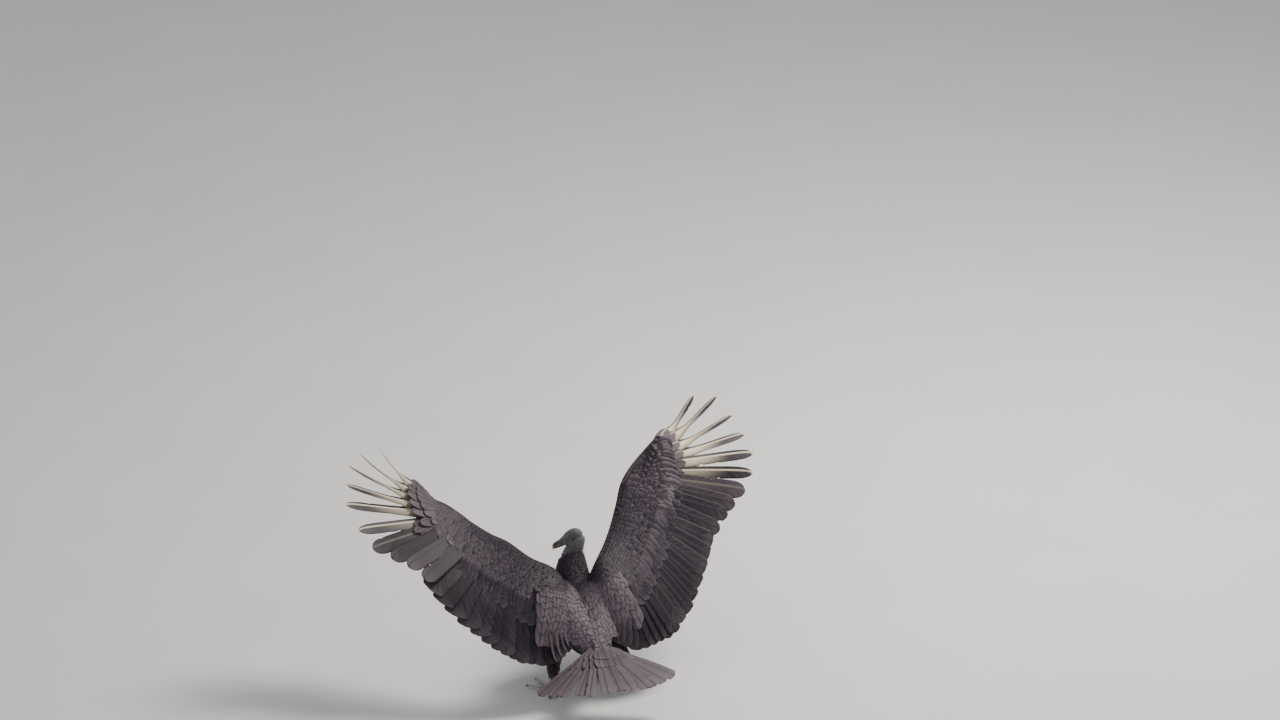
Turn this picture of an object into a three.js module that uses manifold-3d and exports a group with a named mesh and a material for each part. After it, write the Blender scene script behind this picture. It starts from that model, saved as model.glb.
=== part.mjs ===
// Black vulture, life size, standing with the wings raised and spread, the tail fanned and the head turned left.
// Millimetres, +Z up. The bird is laid out heading along +Y with its middle plane at x = 0 and its soles at
// z = 0, then turned to its heading and moved so that the middle of its box stands over the origin.
import * as THREE from "three";
import { mergeVertices } from "three/addons/utils/BufferGeometryUtils.js";
import Module from "manifold-3d";

const wasm = await Module();
wasm.setup();

// ---------------------------------------------------------------- driving sizes
const HEADING = 20; // degrees the bird is turned to its left
const GAP = 0.35; // clearance cut between neighbours
const RUMP = [0, -111, 180]; // top of the back over the tail root
const TRUNK_LENGTH = 262;
const TRUNK_PITCH = 23.8; // degrees nose up
const HEAD_CENTRE = [14, 142, 400];
const HEAD_TURN = 51; // degrees left of the body's heading
const HEAD_DROP = 32; // degrees below the horizontal
const BILL_TIP = 78; // from the middle of the skull
const EYE_RADIUS = 6;
const KNEE = [72, 58, 152];
const ANKLE = [112, -50, 62];
const FOOT = [111, 10, 7];
const TOE_RADIUS = 5.5;
const TAIL_FEATHERS = 12;
const TAIL_LENGTH = 214;
const TAIL_FAN = [-73, 55]; // degrees, left edge to right edge
const INNER_PRIMARIES = 4; // these overlap in one row; the others stand apart like fingers
const SECONDARY_COUNT = 13;

// Each wing from shoulder to hand: leading edge, then trailing edge, one point to a station.
const WINGS = {
  left: {
    lead: [[-34, 92, 268], [-70, 64, 347], [-132, 84, 384], [-176, 142, 412], [-213, 184, 424],
      [-257, 239, 447], [-299, 300, 470], [-352, 358, 492]],
    trail: [[-60, -74, 152], [-118, -78, 134], [-196, -72, 142], [-255, -50, 174], [-317, -5, 220],
      [-395, 62, 300], [-452, 150, 382], [-505, 250, 470]],
    wrist: [-232, 206, 420],
    handEnd: [-338, 336, 478],
    primaryTips: [[-434, 92, 366], [-468, 126, 394], [-503, 166, 407], [-543, 207, 423], [-566, 240, 469],
      [-585, 290, 526], [-574, 322, 569], [-555, 360, 606], [-517, 388, 626], [-456, 411, 632]],
  },
  right: {
    lead: [[34, 94, 268], [60, 76, 352], [88, 102, 375], [123, 147, 404], [155, 186, 451],
      [183, 224, 493], [223, 245, 535], [296, 262, 596]],
    trail: [[62, -74, 152], [124, -78, 132], [190, -70, 140], [250, -54, 166], [317, 0, 224],
      [385, 68, 305], [440, 132, 380], [500, 190, 450]],
    wrist: [206, 200, 462],
    handEnd: [290, 244, 580],
    primaryTips: [[431, 106, 364], [464, 133, 391], [495, 158, 407], [535, 187, 430], [566, 230, 460],
      [587, 283, 493], [583, 338, 528], [562, 383, 569], [525, 406, 621], [462, 417, 627]],
  },
};
const WING_THICKNESS = [50, 46, 38, 32, 26, 24, 19, 9];
const COVERT_REACH = [0.62, 0.62, 0.6, 0.6, 0.6, 0.58, 0.44, 0.1]; // share of the chord under the coverts
const FINGER_ROOT_WIDTH = 50;
const FINGER_WIDTHS = [32, 28, 26, 25, 24, 22]; // beyond the step in each outer primary, fifth to tenth
const FINGER_NORMAL = [-0.615, 0.16, 0.772]; // outward, forward, up: the way the outermost vanes face

// ---------------------------------------------------------------- materials
const material = (name, colour, roughness) => {
  const made = new THREE.MeshStandardMaterial({ color: colour, roughness, metalness: 0 });
  made.name = name;
  return made;
};
const PLUMAGE = material("plumage", 0x3a3236, 0.75);
const FLIGHT = material("flight_feather", 0x2c2529, 0.6);
const SKIN = material("skin", 0x38353a, 0.7);
const BILL = material("bill", 0x4b4540, 0.45);
const EYE = material("eye", 0x20140f, 0.1);
const LEG = material("leg", 0x8d8881, 0.7);
const CLAW = material("claw", 0x1c1a19, 0.4);

// ---------------------------------------------------------------- helpers
const vec = (p) => (p.isVector3 ? p.clone() : new THREE.Vector3(...p));
const rad = THREE.MathUtils.degToRad;
const mix = (a, b, t) => a + (b - a) * t;
const mixVec = (a, b, t) => vec(a).lerp(vec(b), t);

// A value read from a list of equally spaced stations, t running from 0 to 1.
function along(list, t) {
  const place = THREE.MathUtils.clamp(t, 0, 1) * (list.length - 1);
  const i = Math.min(Math.floor(place), list.length - 2);
  const rest = place - i;
  return Array.isArray(list[0]) || list[0].isVector3
    ? mixVec(list[i], list[i + 1], rest)
    : mix(list[i], list[i + 1], rest);
}

// Moves every vertex of a unit shape to its place and returns a solid facing out.
function bent(geometry, place) {
  const bare = new THREE.BufferGeometry();
  bare.setAttribute("position", geometry.getAttribute("position").clone());
  bare.setIndex(geometry.index.clone());
  const joined = mergeVertices(bare, 1e-4);
  const position = joined.getAttribute("position");
  for (let i = 0; i < position.count; i++) {
    const moved = place(position.getX(i), position.getY(i), position.getZ(i));
    position.setXYZ(i, moved.x, moved.y, moved.z);
  }
  const faces = Array.from(joined.index.array);
  const make = (triangles) =>
    new wasm.Manifold(
      new wasm.Mesh({
        numProp: 3,
        vertProperties: new Float32Array(position.array),
        triVerts: new Uint32Array(triangles),
      }),
    );
  const solid = make(faces);
  if (solid.volume() > 0) return solid;
  for (let i = 0; i < faces.length; i += 3) [faces[i + 1], faces[i + 2]] = [faces[i + 2], faces[i + 1]];
  return make(faces);
}

// A rounded body through stations { at, side, up }: side and up are the half width and half height vectors.
function loft(stations, grow = 0, around = 14, rows = 2) {
  const steps = (stations.length - 1) * rows;
  const tube = new THREE.CylinderGeometry(1, 1, 1, around, steps, false);
  const centre = new THREE.CatmullRomCurve3(stations.map((s) => vec(s.at)), false, "centripetal");
  const read = (key, t) => {
    const v = along(stations.map((s) => vec(s[key])), t);
    return v.setLength(v.length() + grow);
  };
  const ends = vec(stations[stations.length - 1].at).sub(vec(stations[0].at)).normalize();
  return bent(tube, (x, y, z) => {
    const t = y + 0.5;
    const spot = centre.getPoint(t);
    const cap = t < 0.01 ? -grow : t > 0.99 ? grow : 0;
    return spot
      .addScaledVector(read("side", t), x)
      .addScaledVector(read("up", t), z)
      .addScaledVector(ends, cap);
  });
}

// A limb of round section through points [x, y, z, radius].
function limb(points, grow = 0, around = 10, rows = 1) {
  const first = vec(points[0].slice(0, 3));
  const last = vec(points[points.length - 1].slice(0, 3));
  const run = last.sub(first).normalize();
  const guide = Math.abs(run.z) > 0.8 ? new THREE.Vector3(0, 1, 0) : new THREE.Vector3(0, 0, 1);
  const side = new THREE.Vector3().crossVectors(run, guide).normalize();
  const up = new THREE.Vector3().crossVectors(side, run).normalize();
  const stations = points.map((p) => ({
    at: p.slice(0, 3),
    side: side.clone().multiplyScalar(p[3]),
    up: up.clone().multiplyScalar(p[3]),
  }));
  return loft(stations, grow, around, rows);
}

// One feather as a thin bent slab, wide near the root and narrower in its outer half. bend lifts the tip along
// the normal, sweep carries it to the trailing side.
function feather({ root, tip, normal, width, finger = width, base, edge, bend = 0, sweep = 0, point }, grow = 0) {
  const start = vec(root);
  const end = vec(tip);
  const run = end.clone().sub(start).normalize();
  const reach = start.distanceTo(end) * 0.04;
  const lift = vec(normal);
  lift.addScaledVector(run, -lift.dot(run)).normalize();
  const across = new THREE.Vector3().crossVectors(run, lift);
  const belly = start.clone().lerp(end, 0.55).addScaledVector(lift, -bend).addScaledVector(across, -sweep);
  const shaft = new THREE.QuadraticBezierCurve3(start, belly, end);
  const widths = [width * 0.7, width, mix(width, finger, 0.8), finger, finger * point];
  const slab = new THREE.BoxGeometry(1, 1, 1, widths.length - 1, 2, 1);
  return bent(slab, (x, y, z) => {
    const t = x + 0.5;
    const tangent = shaft.getTangent(t);
    const wide = new THREE.Vector3().crossVectors(tangent, lift).normalize();
    const thick = new THREE.Vector3().crossVectors(wide, tangent).normalize();
    const beyond = t > 0.99 ? grow + (Math.abs(y) < 0.1 ? reach : 0) : 0;
    return shaft.getPoint(t)
      .addScaledVector(wide, y * (along(widths, t) + 2 * grow))
      .addScaledVector(thick, z * (mix(base, edge, t) + 2 * grow))
      .addScaledVector(tangent, beyond);
  });
}

// A row of overlapping feathers as one thin sheet. root, tip and normal are functions of the place along the row,
// from 0 to 1; each feather ends in a blunt point, with a notch between it and the next.
function featherRow({ count, root, tip, normal, notch, base, edge, bow }, grow = 0) {
  const slab = new THREE.BoxGeometry(1, 1, 1, count * 2, 2, 1);
  return bent(slab, (x, y, z) => {
    const k = x + 0.5;
    const t = y + 0.5;
    const between = Math.round(k * count * 2) % 2 === 0 && t > 0.99;
    const start = vec(root(k));
    const run = vec(tip(k)).sub(start);
    const lift = vec(normal(k)).normalize();
    const length = run.length() * t - (between ? notch : 0) + (t > 0.99 ? grow : t < 0.01 ? -grow : 0);
    const sideways = k < 0.001 ? -grow : k > 0.999 ? grow : 0;
    const across = vec(root(1)).sub(vec(root(0))).normalize();
    return start
      .addScaledVector(run.normalize(), length)
      .addScaledVector(lift, bow * 4 * t * (1 - t) + z * (mix(base, edge, t) + 2 * grow))
      .addScaledVector(across, sideways);
  });
}

// The widest piece left of a solid after its neighbours are cut away.
function largest(solid) {
  const pieces = solid.decompose().sort((a, b) => b.volume() - a.volume());
  return pieces[0];
}

const union = (solids) => solids.reduce((all, one) => all.add(one));

const group = new THREE.Group();
group.name = "black_vulture";

function keep(name, solid, look) {
  const made = solid.getMesh();
  const geometry = new THREE.BufferGeometry();
  geometry.setAttribute("position", new THREE.BufferAttribute(new Float32Array(made.vertProperties), 3));
  geometry.setIndex(new THREE.BufferAttribute(new Uint32Array(made.triVerts), 1));
  geometry.computeVertexNormals();
  const mesh = new THREE.Mesh(geometry, look);
  mesh.name = name;
  group.add(mesh);
}

// ---------------------------------------------------------------- trunk and neck
const trunkRun = new THREE.Vector3(0, Math.cos(rad(TRUNK_PITCH)), Math.sin(rad(TRUNK_PITCH)));
const trunkUp = new THREE.Vector3(0, -Math.sin(rad(TRUNK_PITCH)), Math.cos(rad(TRUNK_PITCH)));

// Rings of the trunk: distance ahead of the rump, half width, half height, and rise of the back line.
const TRUNK_RINGS = [
  [-16, 22, 10, -6],
  [10, 42, 26, 0],
  [62, 60, 46, 4],
  [122, 72, 60, 8],
  [182, 76, 66, 9],
  [232, 68, 62, 6],
  [TRUNK_LENGTH, 50, 46, -6],
  [TRUNK_LENGTH + 18, 22, 20, -30],
];

function trunk(grow = 0) {
  const stations = TRUNK_RINGS.map(([ahead, wide, high, rise]) => ({
    at: vec(RUMP).addScaledVector(trunkRun, ahead).addScaledVector(trunkUp, rise - high),
    side: new THREE.Vector3(wide, 0, 0),
    up: trunkUp.clone().multiplyScalar(high),
  }));
  return loft(stations, grow, 14, 2);
}

const headTurn = rad(90 + HEAD_TURN);
const headRun = new THREE.Vector3(
  Math.cos(headTurn) * Math.cos(rad(HEAD_DROP)),
  Math.sin(headTurn) * Math.cos(rad(HEAD_DROP)),
  -Math.sin(rad(HEAD_DROP)),
);
const headSide = new THREE.Vector3().crossVectors(headRun, new THREE.Vector3(0, 0, 1)).normalize();
const headUp = new THREE.Vector3().crossVectors(headSide, headRun).normalize();
const headAt = (ahead, side, up) =>
  vec(HEAD_CENTRE).addScaledVector(headRun, ahead).addScaledVector(headSide, side).addScaledVector(headUp, up);

// Rings of the neck from the shoulders up into the skull: height, forward place, sideways place, radius.
function neck(grow = 0) {
  const skull = headAt(-9, 0, -8);
  const stations = [
    [0, 104, 248, 44],
    [1, 118, 284, 45],
    [4, 128, 322, 39],
    [9, 134, 354, 31],
    [skull.x, skull.y - 2, skull.z - 6, 21],
    [skull.x, skull.y, skull.z + 4, 12],
  ].map(([x, y, z, radius]) => ({
    at: [x, y, z],
    side: new THREE.Vector3(radius, 0, 0),
    up: new THREE.Vector3(0, -radius * 0.92, radius * 0.25),
  }));
  return loft(stations, grow, 12, 1);
}

// ---------------------------------------------------------------- head
// Rings of a head part: distance ahead of the skull's middle, half width, half height, and rise.
function headLoft(rings, grow = 0, around = 16, rows = 2) {
  return loft(
    rings.map(([ahead, wide, high, rise]) => ({
      at: headAt(ahead, 0, rise),
      side: headSide.clone().multiplyScalar(wide),
      up: headUp.clone().multiplyScalar(high),
    })),
    grow,
    around,
    rows,
  );
}

const SKULL_RINGS = [
  [-27, 3, 3, -1],
  [-23, 12, 12, -1],
  [-12, 18, 18.5, 0],
  [2, 20, 20, 0],
  [16, 18, 17.5, -0.5],
  [28, 13, 14.5, -2],
  [38, 9.5, 12, -3.5],
  [49, 7.5, 10.5, -4.5],
];
const skull = (grow = 0) => headLoft(SKULL_RINGS, grow, 12);
const billUpper = (grow = 0) =>
  headLoft([
    [44, 6.6, 6.4, -0.8],
    [54, 6.2, 6.0, -1.2],
    [64, 5.6, 6.0, -2.2],
    [72, 4.4, 5.4, -5],
    [BILL_TIP - 1.5, 2.4, 3.6, -9.5],
    [BILL_TIP - 3, 0.8, 1.2, -15],
  ], grow, 10);
const billLower = (grow = 0) =>
  headLoft([
    [44, 5.8, 3.6, -11],
    [56, 5.2, 3.2, -11.2],
    [66, 4.0, 2.6, -11.2],
    [72, 2.2, 1.4, -11.4],
  ], grow, 10);
const eyeball = (side, grow = 0) => {
  const centre = headAt(13, side * 12.8, 3.5);
  return bent(new THREE.SphereGeometry(EYE_RADIUS + grow, 10, 7), (x, y, z) =>
    centre.clone().add(new THREE.Vector3(x, y, z)));
};

// ---------------------------------------------------------------- legs and feet
const mirror = (p, side) => [p[0] * side, ...p.slice(1)];

function shank(side, grow = 0) {
  const points = [
    [36, 4, 196, 34],
    [60, 40, 166, 36],
    [KNEE[0] + 2, KNEE[1] - 8, KNEE[2] - 8, 33],
    [92, 12, 112, 25],
    [105, -24, 84, 18],
    [ANKLE[0], ANKLE[1] + 4, ANKLE[2] + 4, 11.5],
  ];
  return limb(points.map((p) => mirror(p, side)), grow, 12, 1);
}

function tarsus(side, grow = 0) {
  const points = [
    [ANKLE[0], ANKLE[1] + 3, ANKLE[2] + 5, 6.5],
    [ANKLE[0], ANKLE[1] - 3, ANKLE[2] - 3, 8.5],
    [ANKLE[0], ANKLE[1] + 12, ANKLE[2] - 16, 5.8],
    [FOOT[0], FOOT[1] - 20, FOOT[2] + 20, 5.6],
    [FOOT[0], FOOT[1] - 5, FOOT[2] + 6, 7],
  ];
  return limb(points.map((p) => mirror(p, side)), grow, 8, 1);
}

// Toes: direction in degrees from straight ahead (outward positive), length, radius at the tip.
const TOES = { inner: [-32, 58, 4], middle: [2, 78, 4.2], outer: [36, 60, 4], hind: [172, 30, 3.6] };

function toePoint(side, name, reach, height) {
  const turn = rad(TOES[name][0]);
  return [side * (FOOT[0] + Math.sin(turn) * reach), FOOT[1] + Math.cos(turn) * reach, height];
}

function foot(side, grow = 0) {
  const pad = bent(new THREE.SphereGeometry(1, 8, 5), (x, y, z) =>
    new THREE.Vector3(side * FOOT[0] + x * (10 + grow), FOOT[1] + y * (11 + grow), FOOT[2] + z * (8 + grow)));
  const toes = Object.entries(TOES).map(([name, [, length, tipRadius]]) =>
    limb([
      [...toePoint(side, name, 0, 6), 6],
      [...toePoint(side, name, length * 0.55, 4.8), TOE_RADIUS],
      [...toePoint(side, name, length, 4), tipRadius],
    ], grow, 6, 1));
  return union([pad, ...toes]).trimByPlane([0, 0, 1], -grow);
}

function claw(side, name, grow = 0) {
  const length = TOES[name][1];
  const size = name === "middle" ? 16 : 12;
  return limb([
    [...toePoint(side, name, length - 4, 5.2), 2.8],
    [...toePoint(side, name, length + size * 0.6, 4.8), 2.1],
    [...toePoint(side, name, length + size, 1.6), 0.6],
  ], grow, 5, 1);
}

// ---------------------------------------------------------------- wings
const sideOf = (name) => (name === "left" ? -1 : 1);

// Place on a wing: t along the span from the body to the hand's end, c across from leading to trailing edge.
function wingPoint(name, t, c) {
  return along(WINGS[name].lead, t).lerp(along(WINGS[name].trail, t), c);
}

function wingNormal(name, t) {
  const span = wingPoint(name, Math.min(t + 0.08, 1), 0.3).sub(wingPoint(name, Math.max(t - 0.08, 0), 0.3));
  const chord = wingPoint(name, t, 1).sub(wingPoint(name, t, 0));
  return chord.cross(span).multiplyScalar(sideOf(name)).normalize();
}

// The flesh and coverts of a wing: a thick leading edge thinning to the ends of the coverts.
function wingArm(name, grow = 0) {
  const rings = 12;
  const tube = new THREE.CylinderGeometry(1, 1, 1, 12, rings, false);
  return bent(tube, (x, y, z) => {
    const t = y + 0.5;
    const reach = along(COVERT_REACH, t);
    const thick = along(WING_THICKNESS, t) / 2 + grow;
    const normal = wingNormal(name, t);
    const chord = wingPoint(name, t, 1).sub(wingPoint(name, t, 0));
    const long = chord.length() * reach;
    const front = (1 + x) / 2;
    const place = wingPoint(name, t, 0).addScaledVector(chord.normalize(), (1 - front) * (long + grow) - grow * front);
    const swell = 0.16 + 0.84 * Math.pow(front, 0.7);
    return place.addScaledVector(normal, z * thick * swell);
  });
}

// The flight feathers of the arm: roots under the coverts, tips on the trailing edge.
function secondaries(name, grow = 0) {
  return featherRow({
    count: SECONDARY_COUNT,
    root: (k) => wingPoint(name, mix(0.2, 0.69, k), 0.36),
    tip: (k) => wingPoint(name, mix(0.13, 0.79, k), 1),
    normal: (k) => wingNormal(name, mix(0.15, 0.72, k)),
    notch: 7,
    base: 3.4,
    edge: 1.6,
    bow: 5,
  }, grow);
}

// The four inner primaries, a row that carries the trailing edge from the arm on to the hand.
function innerPrimaries(name, grow = 0) {
  const wing = WINGS[name];
  const tip = (k) => {
    const place = k * INNER_PRIMARIES - 0.5;
    const i = Math.max(Math.floor(place), 0);
    return mixVec(wing.primaryTips[i], wing.primaryTips[i + 1], place - i);
  };
  return featherRow({
    count: INNER_PRIMARIES,
    root: (k) => mixVec(wing.wrist, wing.handEnd, mix(0, 0.42, k)),
    tip,
    normal: (k) => wingNormal(name, mix(0.74, 0.84, k)),
    notch: 14,
    base: 3.6,
    edge: 1.6,
    bow: -3,
  }, grow);
}

// One of the outer primaries, counted outward from the wrist; the outermost are turned edge up.
function finger(name, number, grow = 0) {
  const wing = WINGS[name];
  const side = sideOf(name);
  const share = (number - 1) / 9;
  const twist = 0.86 * THREE.MathUtils.smoothstep(share, 0.4, 0.85);
  const turned = vec([side * FINGER_NORMAL[0], FINGER_NORMAL[1], FINGER_NORMAL[2]]);
  return feather({
    root: mixVec(wing.wrist, wing.handEnd, mix(0.02, 0.96, share)),
    tip: wing.primaryTips[number - 1],
    normal: wingNormal(name, mix(0.72, 0.9, share)).lerp(turned, twist),
    width: FINGER_ROOT_WIDTH,
    finger: FINGER_WIDTHS[number - 1 - INNER_PRIMARIES],
    base: 3.8,
    edge: 1.5,
    bend: mix(3, 26, share),
    sweep: side * mix(4, 16, share),
    point: 0.5,
  }, grow);
}

function tertials(name, grow = 0) {
  return featherRow({
    count: 3,
    root: (k) => wingPoint(name, mix(0.07, 0.17, k), 0.4),
    tip: (k) => wingPoint(name, mix(0.03, 0.128, k), mix(0.9, 0.99, k)),
    normal: () => wingNormal(name, 0.12),
    notch: 8,
    base: 3.4,
    edge: 1.6,
    bow: 4,
  }, grow);
}

function alula(name, grow = 0) {
  const root = wingPoint(name, 0.7, 0.02);
  const tip = wingPoint(name, 0.9, 0.0);
  const normal = wingNormal(name, 0.8);
  const lift = normal.clone().multiplyScalar(10);
  return feather({
    root: root.add(lift),
    tip: tip.add(lift.multiplyScalar(0.9)),
    normal,
    width: 22,
    base: 4,
    edge: 1.6,
    bend: 2,
    point: 0.5,
  }, grow);
}

// The feathers over the shoulder blade, lying back over the root of the wing.
function scapulars(name, grow = 0) {
  const over = (t, c, lift) => wingPoint(name, t, c).addScaledVector(wingNormal(name, Math.max(t, 0.1)), lift);
  return featherRow({
    count: 5,
    root: (k) => over(mix(0.03, 0.22, k), mix(0.1, 0.2, k), 17),
    tip: (k) => over(mix(0.02, 0.2, k), mix(0.74, 0.84, k), 6),
    normal: () => wingNormal(name, 0.12),
    notch: 12,
    base: 9,
    edge: 2,
    bow: 7,
  }, grow);
}

// ---------------------------------------------------------------- tail
function tail(grow = 0) {
  const root = (k) => vec([mix(-13, 13, k), RUMP[1] + 8, RUMP[2] - 12]);
  const tip = (k) => {
    const turn = rad(mix(TAIL_FAN[0], TAIL_FAN[1], k));
    const edge = Math.abs(k * 2 - 1);
    const droop = rad(9 + 13 * Math.pow(edge, 1.5) * (k < 0.5 ? 1 : 0.45));
    const flat = Math.cos(droop) * (TAIL_LENGTH - 6 * (1 - edge));
    return root(k).add(new THREE.Vector3(
      Math.sin(turn) * flat,
      -Math.cos(turn) * flat,
      -Math.tan(droop) * flat,
    ));
  };
  return featherRow({
    count: TAIL_FEATHERS,
    root,
    tip,
    normal: (k) => [mix(0.25, -0.25, k), 0, 1],
    notch: 9,
    base: 4.5,
    edge: 1.8,
    bow: 4,
  }, grow);
}

// ---------------------------------------------------------------- assembly
// Every solid is cut by those placed before it, each grown by the gap.
const placed = [];

function fit(make) {
  const solid = largest(placed.reduce((left, tool) => left.subtract(tool), make(0)));
  placed.push(make(GAP));
  return solid;
}

const place = (name, make, look) => keep(name, fit(make), look);

place("eye_left", (grow) => eyeball(-1, grow), EYE);
place("eye_right", (grow) => eyeball(1, grow), EYE);
place("trunk", trunk, PLUMAGE);
place("neck", neck, PLUMAGE);
place("head", skull, SKIN);
place("bill_upper", billUpper, BILL);
place("bill_lower", billLower, BILL);
place("tail", tail, FLIGHT);

const ELBOW = 3.2 / 7; // places along the wing, from the body to the hand's end
const WRIST = 5 / 7;

// Parts a wing across its span and returns the inner and the outer piece.
function partAt(solid, name, t) {
  const run = wingPoint(name, t + 0.03, 0.3).sub(wingPoint(name, t - 0.03, 0.3)).normalize();
  const level = wingPoint(name, t, 0.3).dot(run);
  return [
    largest(solid.trimByPlane(run.clone().negate().toArray(), GAP / 2 - level)),
    largest(solid.trimByPlane(run.toArray(), GAP / 2 + level)),
  ];
}

for (const name of ["left", "right"]) {
  const side = sideOf(name);
  const arm = fit((grow) => wingArm(name, grow));
  const [upperArm, outer] = partAt(arm, name, ELBOW);
  const [forearm, hand] = partAt(outer, name, WRIST);
  keep(`upper_arm_${name}`, upperArm, PLUMAGE);
  keep(`forearm_${name}`, forearm, PLUMAGE);
  keep(`hand_${name}`, hand, PLUMAGE);
  place(`shank_${name}`, (grow) => shank(side, grow), PLUMAGE);
  place(`scapulars_${name}`, (grow) => scapulars(name, grow), PLUMAGE);
  place(`secondaries_${name}`, (grow) => secondaries(name, grow), FLIGHT);
  place(`tertials_${name}`, (grow) => tertials(name, grow), FLIGHT);
  place(`inner_primaries_${name}`, (grow) => innerPrimaries(name, grow), FLIGHT);
  for (let number = INNER_PRIMARIES + 1; number <= WINGS[name].primaryTips.length; number++) {
    place(`primary_${number}_${name}`, (grow) => finger(name, number, grow), FLIGHT);
  }
  place(`alula_${name}`, (grow) => alula(name, grow), FLIGHT);
  place(`tarsus_${name}`, (grow) => tarsus(side, grow), LEG);
  place(`foot_${name}`, (grow) => foot(side, grow), LEG);
  for (const toe of Object.keys(TOES)) {
    place(`claw_${toe}_${name}`, (grow) => claw(side, toe, grow), CLAW);
  }
}

// Turn to the heading, then stand the middle of the box over the origin.
group.rotation.z = rad(HEADING);
group.updateMatrixWorld(true);
const box = new THREE.Box3().setFromObject(group, true);
group.position.set(-(box.min.x + box.max.x) / 2, -(box.min.y + box.max.y) / 2, -box.min.z);
group.updateMatrixWorld(true);

export default group;
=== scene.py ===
# %% [markdown]
# # A black vulture with its wings raised
# A still, life-size museum model: one bare skin, and over it several thousand feathers, each a thin solid
# vane. The frame from the CAD step says where everything is. The bird is laid out in millimetres in its own
# frame, x to its right, y ahead and z up, with its soles at z = 0, and every point is turned and moved into
# the room frame at the very end.

# %% Load the frame
import math

import bpy
import numpy as np
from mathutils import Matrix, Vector, noise


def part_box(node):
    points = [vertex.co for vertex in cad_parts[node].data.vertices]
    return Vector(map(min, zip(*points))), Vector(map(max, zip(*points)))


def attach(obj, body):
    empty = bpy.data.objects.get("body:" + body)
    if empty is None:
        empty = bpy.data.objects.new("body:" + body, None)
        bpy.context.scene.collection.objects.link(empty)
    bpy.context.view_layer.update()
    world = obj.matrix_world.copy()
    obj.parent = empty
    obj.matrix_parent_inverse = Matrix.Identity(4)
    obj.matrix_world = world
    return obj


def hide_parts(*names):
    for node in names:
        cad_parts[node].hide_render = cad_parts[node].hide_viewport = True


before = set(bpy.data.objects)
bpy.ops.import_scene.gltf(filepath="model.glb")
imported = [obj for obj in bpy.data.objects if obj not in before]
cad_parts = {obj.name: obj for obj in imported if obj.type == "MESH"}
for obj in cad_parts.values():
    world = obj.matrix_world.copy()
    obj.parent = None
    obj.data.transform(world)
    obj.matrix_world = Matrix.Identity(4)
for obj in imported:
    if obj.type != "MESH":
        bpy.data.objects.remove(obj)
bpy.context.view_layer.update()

# %% [markdown]
# ## The bird's measurements
# These are the driving sizes of the solids, repeated so that skin and feathers can be worked out from the
# same shapes. Lengths are in millimetres and angles in degrees. A wing is a leading edge and a trailing
# edge, one point to a station from shoulder to hand. A ring of the trunk is its place along the spine, half
# width, half height and the rise of its back; a ring of the skull is the same with the rise of its middle.

# %% Driving sizes
HEADING = 20
RUMP = np.array([0.0, -111, 180])
TRUNK_PITCH = 23.8
HEAD_CENTRE = np.array([14.0, 142, 400])
HEAD_TURN = 51
HEAD_DROP = 32
BILL_ROOT = 44
BILL_TIP = 78
EYE_RADIUS = 6
EYE_PLACE = (13, 12.8, 3.5)
KNEE = (72, 58, 152)
ANKLE = (112, -50, 62)
FOOT = (111, 10, 7)
TOES = {"inner": (-32, 58, 4), "middle": (2, 78, 4.2), "outer": (36, 60, 4), "hind": (172, 30, 3.6)}
TAIL_FEATHERS = 12
TAIL_GAPS = [-0.02, 0.005, -0.012, 0.016, 0.0, 0.022, 0.0, -0.01, 0.012, -0.012, 0.0, 0.03]
TAIL_LENGTH = 214
TAIL_FAN = (-73, 55)
SECONDARIES = 13
PRIMARIES = 10
INNER_PRIMARIES = 4
SIDES = {"left": -1, "right": 1}
WINGS = {
    "left": {
        "lead": [[-34, 92, 268], [-70, 64, 347], [-132, 84, 384], [-176, 142, 412], [-213, 184, 424],
                 [-257, 239, 447], [-299, 300, 470], [-352, 358, 492]],
        "trail": [[-60, -74, 152], [-118, -78, 134], [-196, -72, 142], [-255, -50, 174], [-317, -5, 220],
                  [-395, 62, 300], [-452, 150, 382], [-505, 250, 470]],
        "wrist": [-232, 206, 420],
        "hand_end": [-338, 336, 478],
        "primary_tips": [[-434, 92, 366], [-468, 126, 394], [-503, 166, 407], [-543, 207, 423],
                         [-566, 240, 469], [-585, 290, 526], [-574, 322, 569], [-555, 360, 606],
                         [-517, 388, 626], [-456, 411, 632]],
    },
    "right": {
        "lead": [[34, 94, 268], [60, 76, 352], [88, 102, 375], [123, 147, 404], [155, 186, 451],
                 [183, 224, 493], [223, 245, 535], [296, 262, 596]],
        "trail": [[62, -74, 152], [124, -78, 132], [190, -70, 140], [250, -54, 166], [317, 0, 224],
                  [385, 68, 305], [440, 132, 380], [500, 190, 450]],
        "wrist": [206, 200, 462],
        "hand_end": [290, 244, 580],
        "primary_tips": [[431, 106, 364], [464, 133, 391], [495, 158, 407], [535, 187, 430],
                         [566, 230, 460], [587, 283, 493], [583, 338, 528], [562, 383, 569],
                         [525, 406, 621], [462, 417, 627]],
    },
}
WING_THICKNESS = [50, 46, 38, 32, 26, 24, 19, 9]
WING_SPAN = 520
WING_CHORD = 260
COVERT_REACH = [0.62, 0.62, 0.6, 0.6, 0.6, 0.58, 0.44, 0.1]
FINGER_WIDTHS = [32, 28, 26, 25, 24, 22]
FINGER_NORMAL = np.array([-0.615, 0.16, 0.772])
TRUNK_RINGS = [[-16, 22, 10, -6], [10, 42, 26, 0], [62, 60, 46, 4], [122, 72, 60, 8], [182, 76, 66, 9],
               [232, 68, 62, 6], [262, 50, 46, -6], [280, 22, 20, -30]]
SKULL_RINGS = [[-27, 3, 3, -1], [-23, 12, 12, -1], [-12, 18, 18.5, 0], [2, 20, 20, 0], [16, 18, 17.5, -0.5],
               [28, 13, 14.5, -2], [38, 9.5, 12, -3.5], [49, 7.5, 10.5, -4.5]]
chance = np.random.default_rng(7)

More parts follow.
